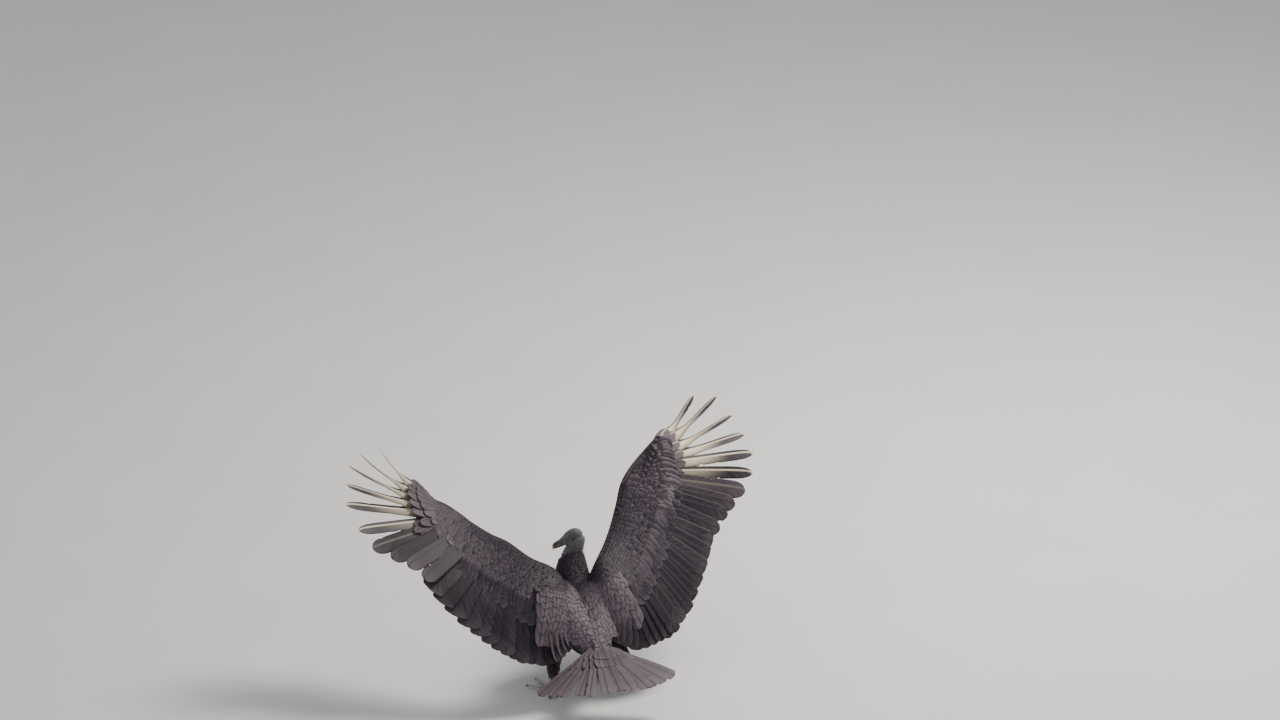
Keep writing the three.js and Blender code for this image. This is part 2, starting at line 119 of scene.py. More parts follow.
# %% [markdown]
# ## Small helpers
# All shapes are worked out on whole arrays of points at once, which is what keeps thousands of feathers
# quick. A curve through evenly spaced stations is read with a Catmull-Rom blend, so it passes through each
# station without a kink.

# %% Array helpers
def unit(v):
    """Vectors scaled to length one."""
    return v / np.maximum(np.linalg.norm(v, axis=-1, keepdims=True), 1e-9)


def ease(x, low, high):
    """A smooth step from 0 at low to 1 at high."""
    t = np.clip((np.asarray(x, float) - low) / (high - low), 0, 1)
    return t * t * (3 - 2 * t)


def mix(a, b, t):
    """From a at t = 0 to b at t = 1."""
    return a + (b - a) * t


def dot(a, b):
    """Row by row dot product, kept as a column."""
    return (a * b).sum(axis=-1, keepdims=True)


def along(stations, t):
    """Values of evenly spaced stations at places t, carried straight on past either end."""
    rows = np.asarray(stations, float)
    rows = rows[:, None] if rows.ndim == 1 else rows
    t = np.atleast_1d(np.asarray(t, float))
    last = len(rows) - 1
    place = np.clip(t, 0, 1) * last
    i = np.minimum(place.astype(int), last - 1)
    f = (place - i)[:, None]
    before, here = rows[np.maximum(i - 1, 0)], rows[i]
    after, beyond = rows[i + 1], rows[np.minimum(i + 2, last)]
    curve = 0.5 * (2 * here + (after - before) * f + (2 * before - 5 * here + 4 * after - beyond) * f**2
                   + (3 * here - before - 3 * after + beyond) * f**3)
    extra = (t * last - place)[:, None]
    return curve + extra * np.where(extra < 0, rows[1] - rows[0], rows[-1] - rows[-2])


# %% From the bird's frame to the room's frame
turn = math.radians(HEADING)
TURN = np.array([[math.cos(turn), -math.sin(turn), 0], [math.sin(turn), math.cos(turn), 0], [0, 0, 1]])
head_yaw, head_pitch = math.radians(90 + HEAD_TURN), math.radians(HEAD_DROP)
HEAD_RUN = np.array([math.cos(head_yaw) * math.cos(head_pitch), math.sin(head_yaw) * math.cos(head_pitch),
                     -math.sin(head_pitch)])
HEAD_SIDE = unit(np.cross(HEAD_RUN, [0, 0, 1]))
HEAD_UP = unit(np.cross(HEAD_SIDE, HEAD_RUN))


def head_at(ahead, side, up):
    """Places on the head, in the bird's frame."""
    ahead, side, up = (np.asarray(v, float)[..., None] for v in (ahead, side, up))
    return HEAD_CENTRE + HEAD_RUN * ahead + HEAD_SIDE * side + HEAD_UP * up


eye_middle = sum(((Vector(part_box(n)[0]) + Vector(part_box(n)[1])) / 2 for n in ("eye_left", "eye_right")),
                 Vector()) / 2
SHIFT = np.array(eye_middle) * 1000 - head_at(EYE_PLACE[0], 0, EYE_PLACE[2]) @ TURN.T


def room(points):
    """Points of the bird's frame in millimetres as points of the room frame in metres."""
    return (np.asarray(points) @ TURN.T + SHIFT) / 1000


print("the bird stands at", SHIFT.round(1), "mm from the middle of the box")

# %% [markdown]
# ## Floor, lights and camera
# A long lens from far off, so that near and far parts of the wide wings keep their true sizes. The light is
# a wide soft key from behind and to the right, a broad fill from the left and a pale surround.

# %% Camera
VIEW_DOWN = math.radians(25)
VIEW_DISTANCE = 25
FRAME_WIDTH = 1280 / 365
LOOK_AT = Vector((SHIFT[0] / 1000 + 0.1478, SHIFT[1] / 1000 + 0.311, 0.851))
SENSOR = 36
back_off = VIEW_DISTANCE * Vector((0, -math.cos(VIEW_DOWN), math.sin(VIEW_DOWN)))
bpy.ops.object.camera_add(location=LOOK_AT + back_off, rotation=(math.pi / 2 - VIEW_DOWN, 0, 0))
camera = bpy.context.object
camera.data.sensor_width = SENSOR
camera.data.lens = SENSOR * VIEW_DISTANCE / FRAME_WIDTH
camera.data.clip_end = 200
bpy.context.scene.camera = camera
print("lens:", round(camera.data.lens, 1), "mm, at", [round(v, 2) for v in camera.location])


# %% Lights and surround
MIDDLE = Vector((0, 0, 0.35))


def soft_light(name, place, size, power, colour):
    """A large square lamp aimed at the middle of the bird."""
    bpy.ops.object.light_add(type="AREA", location=place)
    lamp = bpy.context.object
    lamp.name = name
    lamp.data.size = size
    lamp.data.energy = power
    lamp.data.color = colour
    lamp.rotation_euler = (MIDDLE - Vector(place)).to_track_quat("-Z", "Y").to_euler()


soft_light("key", (2.2, 1.2, 3.6), 1.2, 260, (1.0, 0.96, 0.91))
soft_light("fill", (-3.0, -2.6, 2.6), 3.2, 36, (0.92, 0.93, 1.0))
soft_light("front", (0.6, -3.6, 1.6), 2.6, 26, (0.98, 0.96, 1.0))
world = bpy.data.worlds.new("pale surround")
bpy.context.scene.world = world
world.use_nodes = True
world.node_tree.nodes["Background"].inputs["Color"].default_value = (0.82, 0.83, 0.86, 1)
world.node_tree.nodes["Background"].inputs["Strength"].default_value = 0.55

# %% [markdown]
# ## Node helpers
# Each material is a Principled shader whose colour, roughness and bump come from small node graphs. A helper
# adds a node, sets its values and links its inputs, so that a graph reads as a list of steps.

# %% Node helpers
def step(tree, kind, links=None, **settings):
    """Adds one node; settings are its properties, links gives its inputs a value or another node's output."""
    node = tree.nodes.new(kind)
    for key, value in settings.items():
        setattr(node, key, value)
    for key, value in (links or {}).items():
        socket = node.inputs[key]
        if isinstance(value, bpy.types.NodeSocket):
            tree.links.new(value, socket)
        else:
            socket.default_value = value
    return node


def sums(tree, operation, a, b=0.0, clamp=False):
    """One Math node (a sum, a product and so on), giving its output."""
    return step(tree, "ShaderNodeMath", {0: a, 1: b}, operation=operation, use_clamp=clamp).outputs[0]


def ranged(tree, value, low=0.0, high=1.0, to_low=0.0, to_high=1.0):
    """One Map Range node, giving its output: low to high becomes to_low to to_high."""
    return step(tree, "ShaderNodeMapRange", {0: value, 1: low, 2: high, 3: to_low, 4: to_high}).outputs[0]


def blend(tree, share, a, b, kind="MIX"):
    """One colour Mix node, giving its output."""
    node = step(tree, "ShaderNodeMix", data_type="RGBA", blend_type=kind)
    for key, value in ((0, share), (6, a), (7, b)):
        if isinstance(value, bpy.types.NodeSocket):
            tree.links.new(value, node.inputs[key])
        else:
            node.inputs[key].default_value = value
    return node.outputs[2]


def mark(tree, name):
    """A number painted on the mesh."""
    return step(tree, "ShaderNodeAttribute", attribute_name=name).outputs["Fac"]


def object_place(tree):
    """The place of each point on its piece, in metres."""
    return step(tree, "ShaderNodeTexCoord").outputs["Object"]


def raise_grain(tree, shader, height, strength, distance):
    """Feeds a height to the shader's normal through a Bump node; distance is in metres."""
    bump = step(tree, "ShaderNodeBump", {"Height": height, "Strength": strength, "Distance": distance})
    tree.links.new(bump.outputs[0], shader.inputs["Normal"])


def new_material(name, **sockets):
    """A Principled material with its constant sockets set; returns material, tree and shader."""
    made = bpy.data.materials.new(name)
    made.use_nodes = True
    shader = made.node_tree.nodes["Principled BSDF"]
    for key, value in sockets.items():
        shader.inputs[key.replace("_", " ")].default_value = value
    return made, made.node_tree, shader


# %% Floor
floor_look, tree, shader = new_material("pale floor")
speck = step(tree, "ShaderNodeTexNoise", {"Vector": object_place(tree), "Scale": 3.0, "Detail": 4.0})
tree.links.new(blend(tree, speck.outputs["Fac"], (0.60, 0.59, 0.57, 1), (0.66, 0.65, 0.63, 1)),
               shader.inputs["Base Color"])
shader.inputs["Roughness"].default_value = 0.9
bpy.ops.mesh.primitive_plane_add(size=120)
floor = bpy.context.object
floor.name = "floor"
floor.data.materials.append(floor_look)

# %% [markdown]
# ## The vane: one feather, modelled once
# A feather is a stiff shaft with a flat web on both sides. One flat grid is given a thickness and kept as a
# template: how far along each point is, how far across, and on which face. Every feather on the bird is a
# copy of it with each point moved to its own place. Body feathers use a coarse vane and flight feathers a
# fine one.

# %% Vane templates
def vane(cells_along, cells_across, crowded=1.0):
    """A thin solid vane as arrays: along 0..1, across -1..1, face -1 or 1, its four-sided faces, and which
    of them are web and not rim. Above one, crowded gathers the rows towards the rounded tip."""
    bpy.ops.object.select_all(action="DESELECT")
    bpy.ops.mesh.primitive_grid_add(x_subdivisions=cells_along, y_subdivisions=cells_across, size=2)
    flat = bpy.context.object
    solid = flat.modifiers.new("thickness", "SOLIDIFY")
    solid.thickness = 0.1
    solid.offset = 0
    bpy.ops.object.modifier_apply(modifier=solid.name)
    points = np.array([v.co[:] for v in flat.data.vertices])
    faces = np.array([p.vertices[:] for p in flat.data.polygons])
    bpy.data.meshes.remove(flat.data)
    face = np.sign(points[:, 2])
    rim = np.abs(face[faces].sum(axis=1)) < 4
    return {"along": 1 - (1 - (points[:, 0] + 1) / 2) ** crowded, "across": points[:, 1], "face": face,
            "faces": faces, "web": ~rim}


SMALL_VANE = vane(6, 4, crowded=1.7)
BODY_VANE = vane(8, 6, crowded=1.6)
FLIGHT_VANE = vane(40, 12)
for title, kind in (("small", SMALL_VANE), ("body", BODY_VANE), ("flight", FLIGHT_VANE)):
    print(title, "vane:", len(kind["along"]), "points,", 2 * len(kind["faces"]), "triangles")

# %% [markdown]
# ## Joining the copies
# Copies that belong together become one mesh. Each point carries painted marks that the materials read: tone
# (a shade of its own for each feather), a painted sunlight mark (how lit the place looks: lighter where the
# back, the tail's right side and the right hand catch the light, darker where the wings are in shade), shaft,
# tip, pale (a cream web) and a cream shaft mark, which also paints glints on the right hand's coverts. Two UV
# maps go with them: "vane" measures across and along the feather, and "OFBake" gives each small feather one
# tiny patch at its root's place on an unwrap of the skin, and each flight feather a strip.

# %% Feather mesh
PATCH = 0.003


def feather_mesh(name, points, kind, marks, vane_map, bake_map):
    """points: copies x vane points x 3 in the bird's frame; returns the joined object."""
    copies, size = points.shape[:2]
    faces = (kind["faces"][None] + (np.arange(copies) * size)[:, None, None]).reshape(-1, 4)
    mesh = bpy.data.meshes.new(name)
    mesh.vertices.add(copies * size)
    mesh.vertices.foreach_set("co", room(points.reshape(-1, 3)).astype(np.float32).ravel())
    mesh.loops.add(faces.size)
    mesh.loops.foreach_set("vertex_index", faces.astype(np.int32).ravel())
    mesh.polygons.add(len(faces))
    mesh.polygons.foreach_set("loop_start", np.arange(0, faces.size, 4, dtype=np.int32))
    mesh.polygons.foreach_set("use_smooth", np.tile(kind["web"], copies))
    mesh.update(calc_edges=True)
    for title, values in marks.items():
        spread = np.broadcast_to(np.asarray(values, float).reshape(copies, -1), (copies, size))
        layer = mesh.attributes.new(title, "FLOAT", "POINT")
        layer.data.foreach_set("value", spread.astype(np.float32).ravel())
    for title, flat in (("OFBake", bake_map), ("vane", vane_map)):
        layer = mesh.uv_layers.new(name=title)
        layer.data.foreach_set("uv", flat.reshape(-1, 2)[faces.ravel()].astype(np.float32).ravel())
    made = bpy.data.objects.new(name, mesh)
    bpy.context.collection.objects.link(made)
    return made


def dress(piece, look, nodes=()):
    """Material, body and the CAD nodes a piece stands for."""
    piece.data.materials.append(look)
    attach(piece, "root")
    if nodes:
        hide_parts(*nodes)
    piece.data.calc_loop_triangles()
    print(piece.name, "triangles:", len(piece.data.loop_triangles))


# %% [markdown]
# ## Surfaces the coat lies on
# Trunk, neck, thigh and wing are each a function from two numbers to a point, the same shapes that the
# solids have. A feather laid by such a function bends with the body under it, and never sticks out of its
# outline.

# %% Trunk, neck and thigh
trunk_pitch = math.radians(TRUNK_PITCH)
TRUNK_RUN = np.array([0, math.cos(trunk_pitch), math.sin(trunk_pitch)])
TRUNK_UP = np.array([0, -math.sin(trunk_pitch), math.cos(trunk_pitch)])


def trunk_surface(inset=0):
    """Trunk: place 0..1 from tail root to breast, and angle round from the middle of the back."""
    def place(t, angle):
        ahead, wide, high, rise = along(TRUNK_RINGS, t).T
        wide, high = (np.maximum(v - inset, 3)[:, None] for v in (wide, high))
        middle = RUMP + TRUNK_RUN * ahead[:, None] + TRUNK_UP * (rise[:, None] - high - inset)
        return (middle + [1, 0, 0] * wide * np.sin(angle)[:, None]
                + TRUNK_UP * high * np.cos(angle)[:, None])
    return place


skull_base = head_at(-9, 0, -8)
NECK_RINGS = [[0, 104, 248, 44], [1, 118, 284, 45], [4, 128, 322, 39], [9, 134, 354, 31],
              [skull_base[0], skull_base[1] - 2, skull_base[2] - 6, 21],
              [skull_base[0], skull_base[1], skull_base[2] + 4, 12]]


def neck_surface(inset=0):
    """Neck: place 0..1 from shoulders to skull, and angle round from the nape."""
    def place(t, angle):
        rings = along(NECK_RINGS, t)
        radius = np.maximum(rings[:, 3:] - inset * (1 - ease(t, 0.3, 0.75))[:, None], 3)
        return (rings[:, :3] + [1, 0, 0] * radius * np.sin(angle)[:, None]
                + np.array([0, -0.92, 0.25]) * radius * np.cos(angle)[:, None])
    return place


def limb_surface(points, inset=0):
    """A round limb through points x, y, z, radius: place 0..1 along it, and angle round."""
    rings = np.array(points, float)
    run = unit(rings[-1, :3] - rings[0, :3])
    guide = np.array([0, 1.0, 0]) if abs(run[2]) > 0.8 else np.array([0, 0, 1.0])
    side = unit(np.cross(run, guide))
    up = unit(np.cross(side, run))

    def place(t, angle):
        here = along(rings, t)
        radius = np.maximum(here[:, 3:] - inset, 1)
        return here[:, :3] + side * radius * np.sin(angle)[:, None] + up * radius * np.cos(angle)[:, None]
    return place


def mirrored(points, side):
    """The same points for the left leg (-1) or the right leg (1)."""
    return [[p[0] * side, *p[1:]] for p in points]


def thigh_points(side):
    """Shank from the hip past the knee to the ankle."""
    return mirrored([[36, 4, 196, 34], [60, 40, 166, 36], [KNEE[0] + 2, KNEE[1] - 8, KNEE[2] - 8, 33],
                     [92, 12, 112, 25], [105, -24, 84, 18],
                     [ANKLE[0], ANKLE[1] + 4, ANKLE[2] + 4, 11.5]], side)


# %% Wing
def wing_point(name, t, c):
    """t along the span 0..1, c across the wing from leading edge 0 to trailing edge 1."""
    lead, trail = along(WINGS[name]["lead"], t), along(WINGS[name]["trail"], t)
    return lead + (trail - lead) * np.atleast_1d(np.asarray(c, float))[:, None]


def wing_normal(name, t):
    """Out of the wing's upper face."""
    t = np.clip(np.atleast_1d(np.asarray(t, float)), 0, 1)
    span = wing_point(name, np.minimum(t + 0.08, 1), 0.3) - wing_point(name, np.maximum(t - 0.08, 0), 0.3)
    chord = wing_point(name, t, 1) - wing_point(name, t, 0)
    return unit(np.cross(chord, span)) * SIDES[name]


def wing_surface(name, inset=0.0, swell_share=1.0):
    """The wing with its coverts: t along the span, v across it, positive above and negative beneath. v is the
    root of the share across, which rounds the leading edge evenly."""
    def place(t, v):
        across = v**2
        reach = np.maximum(along(COVERT_REACH, np.clip(t, 0, 1))[:, 0], 0.1)
        half = along(WING_THICKNESS, np.clip(t, 0, 1))[:, 0] / 2 * swell_share
        front = np.clip(1 - across / reach, 0, 1)
        round_front = np.sqrt(np.clip(1 - (2 * front - 1) ** 2, 0, 1))
        height = np.maximum(half * (0.16 + 0.84 * front**0.7) * round_front - inset, 0)
        behind = np.clip((across - 0.36) / 0.64, 0, 1)
        bow = 20 * behind * (1 - behind)
        return wing_point(name, t, across) + wing_normal(name, t) * (np.sign(v) * height + bow)[:, None]
    return place


# %% [markdown]
# ## Laying feathers on a surface
# A feather's root is a place on the surface and its flow a direction in space. The surface's own slopes turn
# that direction into steps of the two place numbers, and each point of the vane then walks from the root
# along and across. The root sits as deep as the coat is thick and the tip lies on top of the next row.

# %% Lay a coat
def vane_width(t, point):
    """Share of the full width: narrow at the root, full in the middle, rounded off beyond point."""
    body = 0.5 + 0.5 * np.sin(np.pi / 2 * np.clip(t / 0.5, 0, 1))
    end = np.clip((t - point) / (1 - point), 0, 1)
    return body * np.sqrt(np.clip(1 - 0.985 * end**2, 0, 1))


def lay(surface, facing, roots, flow, length, width, depth, lift, kind, point=0.6, crown=0.14, fray=0.05,
        tilt=0.4):
    """Copies of a vane laid on a surface, in millimetres. Roots and flow have a row to each feather; depth is
    how far the root is sunk, lift how far the tip stands off, crown the fall to both edges, tilt the rise
    of one edge, and fray how ragged the end is."""
    a, b = roots[:, 0], roots[:, 1]
    copies = len(a)
    length, width, depth, lift = (np.broadcast_to(v, copies)[:, None] for v in (length, width, depth, lift))
    tiny = 1e-3
    base = surface(a, b)
    slope_a, slope_b = (surface(a + tiny, b) - base) / tiny, (surface(a, b + tiny) - base) / tiny
    normal = unit(np.cross(slope_a, slope_b)) * facing
    forward = unit(flow - dot(flow, normal) * normal)
    sideways = np.cross(normal, forward)
    aa, bb, ab = dot(slope_a, slope_a), dot(slope_b, slope_b), dot(slope_a, slope_b)
    both = np.maximum(aa * bb - ab * ab, 1e-6 * aa * bb)

    def steps(direction):
        on_a, on_b = dot(direction, slope_a), dot(direction, slope_b)
        return (bb * on_a - ab * on_b) / both, (aa * on_b - ab * on_a) / both

    ahead_a, ahead_b = steps(forward)
    aside_a, aside_b = steps(sideways)
    t, u = kind["along"][None], kind["across"][None]
    columns, column_of = np.unique(kind["across"].round(4), return_inverse=True)
    ragged = 1 - fray * chance.random((copies, len(columns)))[:, column_of.ravel()] * (t > 0.85)
    reach = t * ragged * length
    off = u * vane_width(t, point) * width / 2
    place_a = (a[:, None] + reach * ahead_a + off * aside_a).ravel()
    place_b = (b[:, None] + reach * ahead_b + off * aside_b).ravel()
    on = surface(place_a, place_b)
    beside, beyond = surface(place_a + tiny, place_b) - on, surface(place_a, place_b + tiny) - on
    out = unit(np.cross(beside, beyond)) * facing
    loose = 0.05 * chance.standard_normal((copies, 1))
    rise = -depth * (1 - t) ** 1.4 + lift * t + loose * t
    rise = rise - crown * u**2 * np.minimum(width / 16, 1.5) + tilt * u * t
    rise = rise + kind["face"][None] * mix(0.18, 0.07, t)
    points = on.reshape(copies, -1, 3) + out.reshape(copies, -1, 3) * rise[..., None]
    # where a surface folds tightly, no point may stray further from its root than the feather is long
    strayed = points - base[:, None]
    far = np.linalg.norm(strayed, axis=-1)
    allowed = t * length * 1.04 + width / 2 + depth + 1
    return base[:, None] + strayed * np.minimum(1, allowed / np.maximum(far, 1e-9))[..., None]


def rows_of(starts, count_at, jitter=0.18, low=0.0, high=1.0):
    """Roots in staggered rows: one row to each start, count_at(start) feathers from low to high."""
    roots = []
    for number, start in enumerate(starts):
        count = max(int(count_at(start)), 1)
        stagger = 0.5 * (number % 2)
        for i in range(count):
            shake = jitter * chance.uniform(-0.5, 0.5)
            roots.append((start, mix(low, high, (i + 0.25 + stagger + shake) / count)))
    return np.array(roots)


def coat(name, points, kind, unwrap, length, width, painted_sun):
    """One joined coat piece from laid feathers; unwrap has each root's place on a sheet, 0 to 1 both ways."""
    copies = len(points)
    across, ahead = kind["across"][None], kind["along"][None]
    flat = np.stack([across * width[:, None] / 200, ahead * length[:, None] / 100], -1)
    patch = np.stack([across / 2, ahead - 0.5], -1) * PATCH
    inside = 0.01 + 0.98 * np.clip(unwrap, 0, 1)
    each, none = np.ones((copies, 1)), np.zeros(copies)
    # the painted sunlight mark says how lit each feather of this coat is painted, by its place on the bird
    marks = {"tone": chance.random(copies), "painted_sun": none + painted_sun, "shaft": (np.abs(across) < 0.05) * each,
             "tip": ease(ahead, 0.7, 1.0) * each, "pale": none, "ivory_and_glint": none}
    return feather_mesh(name, points, kind, marks, flat, inside[:, None] + patch)


# %% [markdown]
# ## Feather finish
# Sooty black feathers are never one colour: each has its own shade, old ones are bleached to grey-brown at
# the tips, and the barbs show as fine slanting streaks. The same grey-brown is also painted on as sunlight,
# lighter where the back, the tail and the right hand catch the light and darker where the wings are in shade.
# One node group draws the barbs from the feather's own across-and-along map and is shared by every feather
# material.

# %% Barb group
barbs = bpy.data.node_groups.new("feather barbs", "ShaderNodeTree")
for title, kind in (("Spacing", "NodeSocketFloat"), ("Slant", "NodeSocketFloat")):
    barbs.interface.new_socket(title, in_out="INPUT", socket_type=kind)
for title, kind in (("Height", "NodeSocketFloat"), ("Streak", "NodeSocketFloat")):
    barbs.interface.new_socket(title, in_out="OUTPUT", socket_type=kind)
asked, given = barbs.nodes.new("NodeGroupInput"), barbs.nodes.new("NodeGroupOutput")
split = step(barbs, "ShaderNodeSeparateXYZ", {0: step(barbs, "ShaderNodeUVMap", uv_map="vane").outputs[0]})
out_from_shaft = sums(barbs, "ABSOLUTE", split.outputs[0])
slope = sums(barbs, "MULTIPLY", out_from_shaft, asked.outputs["Slant"])
slanted = sums(barbs, "SUBTRACT", split.outputs[1], slope)
lines = sums(barbs, "MULTIPLY", slanted, asked.outputs["Spacing"])
field = step(barbs, "ShaderNodeCombineXYZ", {0: lines, 1: sums(barbs, "MULTIPLY", out_from_shaft, 6.0),
                                            2: sums(barbs, "MULTIPLY", mark(barbs, "tone"), 37.0)})
fine = step(barbs, "ShaderNodeTexNoise", {"Vector": field.outputs[0], "Scale": 1.0, "Detail": 3.0,
                                          "Roughness": 0.6}).outputs["Fac"]
broad = step(barbs, "ShaderNodeTexNoise", {"Vector": field.outputs[0], "Scale": 0.22,
                                           "Detail": 2.0}).outputs["Fac"]
ribbed = sums(barbs, "ADD", fine, sums(barbs, "MULTIPLY", mark(barbs, "shaft"), 0.8))
barbs.links.new(ribbed, given.inputs["Height"])
streaked = sums(barbs, "ADD", sums(barbs, "MULTIPLY", fine, 0.5), sums(barbs, "MULTIPLY", broad, 0.5))
barbs.links.new(streaked, given.inputs["Streak"])
print("barb group:", len(barbs.nodes), "nodes")


# %% Feather materials
SOOT = (0.015, 0.010, 0.017, 1)
BLACK = (0.009, 0.006, 0.011, 1)
# grey-brown of worn tips, and also the colour that paints sunlight on the lit parts
BLEACHED_AND_SUNLIT = (0.175, 0.135, 0.155, 1)
IVORY_AND_GLINT = (0.86, 0.77, 0.56, 1)
PALE_WEB = (0.76, 0.64, 0.45, 1)
DARK_SHAFT = (0.026, 0.02, 0.025, 1)


def feather_look(name, dark, roughness, bump):
    """A feather material: from dark to grey-brown by the marks, for worn tips and painted sunlight, streaked
    by the barbs, with shaft and pale webs.
    """
    made, tree, shader = new_material(name, Sheen_Weight=0.06, Sheen_Roughness=0.4, Specular_IOR_Level=0.24)
    barb = step(tree, "ShaderNodeGroup", {"Spacing": 45, "Slant": 1.3}, node_tree=barbs)
    streak = ranged(tree, barb.outputs["Streak"], 0.32, 0.68)
    by_tone = sums(tree, "MULTIPLY", sums(tree, "SUBTRACT", mark(tree, "tone"), 0.5), 0.2)
    by_tip = sums(tree, "MULTIPLY", mark(tree, "tip"), 0.16)
    by_streak = sums(tree, "MULTIPLY", sums(tree, "SUBTRACT", streak, 0.5), 0.3)
    # painted sunlight, each feather's own tone and the worn tip together lift the colour towards the
    # grey-brown
    faded_and_sunlit = sums(tree, "ADD", sums(tree, "ADD", mark(tree, "painted_sun"), by_tone), by_tip)
    faded_and_sunlit = sums(tree, "ADD", faded_and_sunlit, by_streak, clamp=True)
    colour = blend(tree, faded_and_sunlit, dark, BLEACHED_AND_SUNLIT)
    colour = blend(tree, mark(tree, "pale"), colour, PALE_WEB)
    quill = blend(tree, mark(tree, "ivory_and_glint"), DARK_SHAFT, IVORY_AND_GLINT)
    colour = blend(tree, sums(tree, "MULTIPLY", mark(tree, "shaft"), 0.9, clamp=True), colour, quill)
    tree.links.new(colour, shader.inputs["Base Color"])
    rough = ranged(tree, streak, to_low=roughness - 0.08, to_high=roughness + 0.12)
    tree.links.new(rough, shader.inputs["Roughness"])
    raise_grain(tree, shader, barb.outputs["Height"], bump, 0.0006)
    return made


plumage_look = feather_look("body feathers", SOOT, 0.62, 0.5)
flight_look = feather_look("flight feathers", BLACK, 0.56, 0.6)
print("feather materials:", plumage_look.name, "and", flight_look.name)

# %% [markdown]
# ## Trunk, neck and thigh feathers
# Contour feathers in staggered rows, like roof tiles, from the breast back to the tail and down to the
# ankle. They are long and loose over the belly and thighs, and short and narrow up the neck. The rounded
# front of the trunk is a pole of its surface, so it gets rows of its own that hang down over the first rows
# of the trunk.

# %% Trunk coat
def trunk_coat():
    """Tiles of the trunk, breast to rump."""
    spacing = 13.0
    starts = np.linspace(1.02, 0.04, 31)
    roots = rows_of(starts, lambda t: np.pi * along(TRUNK_RINGS, t)[0, 1:3].sum() / spacing, jitter=0.5,
                    low=-np.pi, high=np.pi)
    roots[:, 0] += chance.uniform(-0.003, 0.003, len(roots))
    t, angle = roots.T
    copies = len(roots)
    belly = ease(np.abs(angle), 1.2, 2.6)
    grown = ease(t, 1.0, 0.75)
    length = mix(40, 50, belly) * mix(0.75, 1.0, grown) * chance.uniform(0.88, 1.12, copies)
    width = mix(25, 23, belly) * mix(0.7, 1.0, grown) * chance.uniform(0.9, 1.1, copies)
    spread = chance.normal(0, 0.10, (copies, 3))
    points = lay(trunk_surface(), -1, roots, -TRUNK_RUN + spread, length, width, 8.0, mix(0.1, 1.2, belly),
                 BODY_VANE, fray=0.07)
    # painted sunlight: lightest along the top of the back, none down the flanks and belly or at the breast
    painted_sun = mix(0.46, 0.62, ease(t, 0.1, 0.5)) * ease(np.cos(angle), -0.1, 0.75) * (1 - ease(t, 0.8, 0.95))
    unwrap = np.stack([angle / (2 * np.pi) + 0.5, t], -1)
    return coat("trunk_feathers", points, BODY_VANE, unwrap, length, width, painted_sun)


dress(trunk_coat(), plumage_look)


# %% Breast coat
def breast_surface(rise, side):
    """The rounded front of the trunk; rise and side are shares of its greatest half width."""
    widest = 76
    t = np.linspace(0.58, 1.05, 80)
    t = np.interp(-np.hypot(rise, side), -along(TRUNK_RINGS, t)[:, 1] / widest, t)
    ahead, wide, high, lifted = along(TRUNK_RINGS, t).T[..., None]
    middle = RUMP + TRUNK_RUN * ahead + TRUNK_UP * (lifted - high)
    return middle + widest * (side[:, None] * [1, 0, 0] + rise[:, None] * high / wide * TRUNK_UP)


def breast_coat():
    """Feathers hanging down over the front of the trunk, where the rows of the trunk start."""
    roots = rows_of(np.linspace(0.84, -0.7, 11), lambda rise: 11, jitter=0.5, low=-0.85, high=0.85)
    roots = roots[np.hypot(*roots.T) < 0.95]
    copies = len(roots)
    length, width = chance.uniform(36, 46, copies), chance.uniform(21, 27, copies)
    spread = chance.normal(0, 0.1, (copies, 3))
    points = lay(breast_surface, 1, roots, -TRUNK_UP + spread, length, width, 7.0, 1.2, BODY_VANE)
    return coat("breast_feathers", points, BODY_VANE, 0.5 + 0.4 * roots[:, ::-1], length, width, 0.0)


dress(breast_coat(), plumage_look)


# %% Neck coat
def neck_coat():
    """Short narrow feathers of the neck, reaching higher on the nape than on the throat."""
    spacing = 6.8
    starts = np.linspace(0.68, -0.08, 27)
    roots = rows_of(starts, lambda t: 2 * np.pi * along(NECK_RINGS, t)[0, 3] / spacing, jitter=0.7,
                    low=-np.pi, high=np.pi)
    roots[:, 0] += chance.uniform(-0.009, 0.009, len(roots))
    line = 0.56 + 0.1 * np.cos(roots[:, 1]) + chance.uniform(-0.02, 0.02, len(roots))
    roots = roots[roots[:, 0] < line]
    t, angle = roots.T
    copies = len(roots)
    length = mix(36, 15, ease(t, 0.0, 0.6)) * chance.uniform(0.75, 1.3, copies)
    width = mix(17, 7.5, ease(t, 0.0, 0.55)) * chance.uniform(0.85, 1.15, copies)
    spread = chance.normal(0, 0.16, (copies, 3))
    points = lay(neck_surface(), 1, roots, np.array([0, -0.25, -1.0]) + spread, length, width,
                 mix(7.0, 1.2, ease(t, 0.0, 0.6)), 0.2, SMALL_VANE, point=0.36)
    unwrap = np.stack([angle / (2 * np.pi) + 0.5, t], -1)
    return coat("neck_feathers", points, SMALL_VANE, unwrap, length, width, 0.0)


dress(neck_coat(), plumage_look)


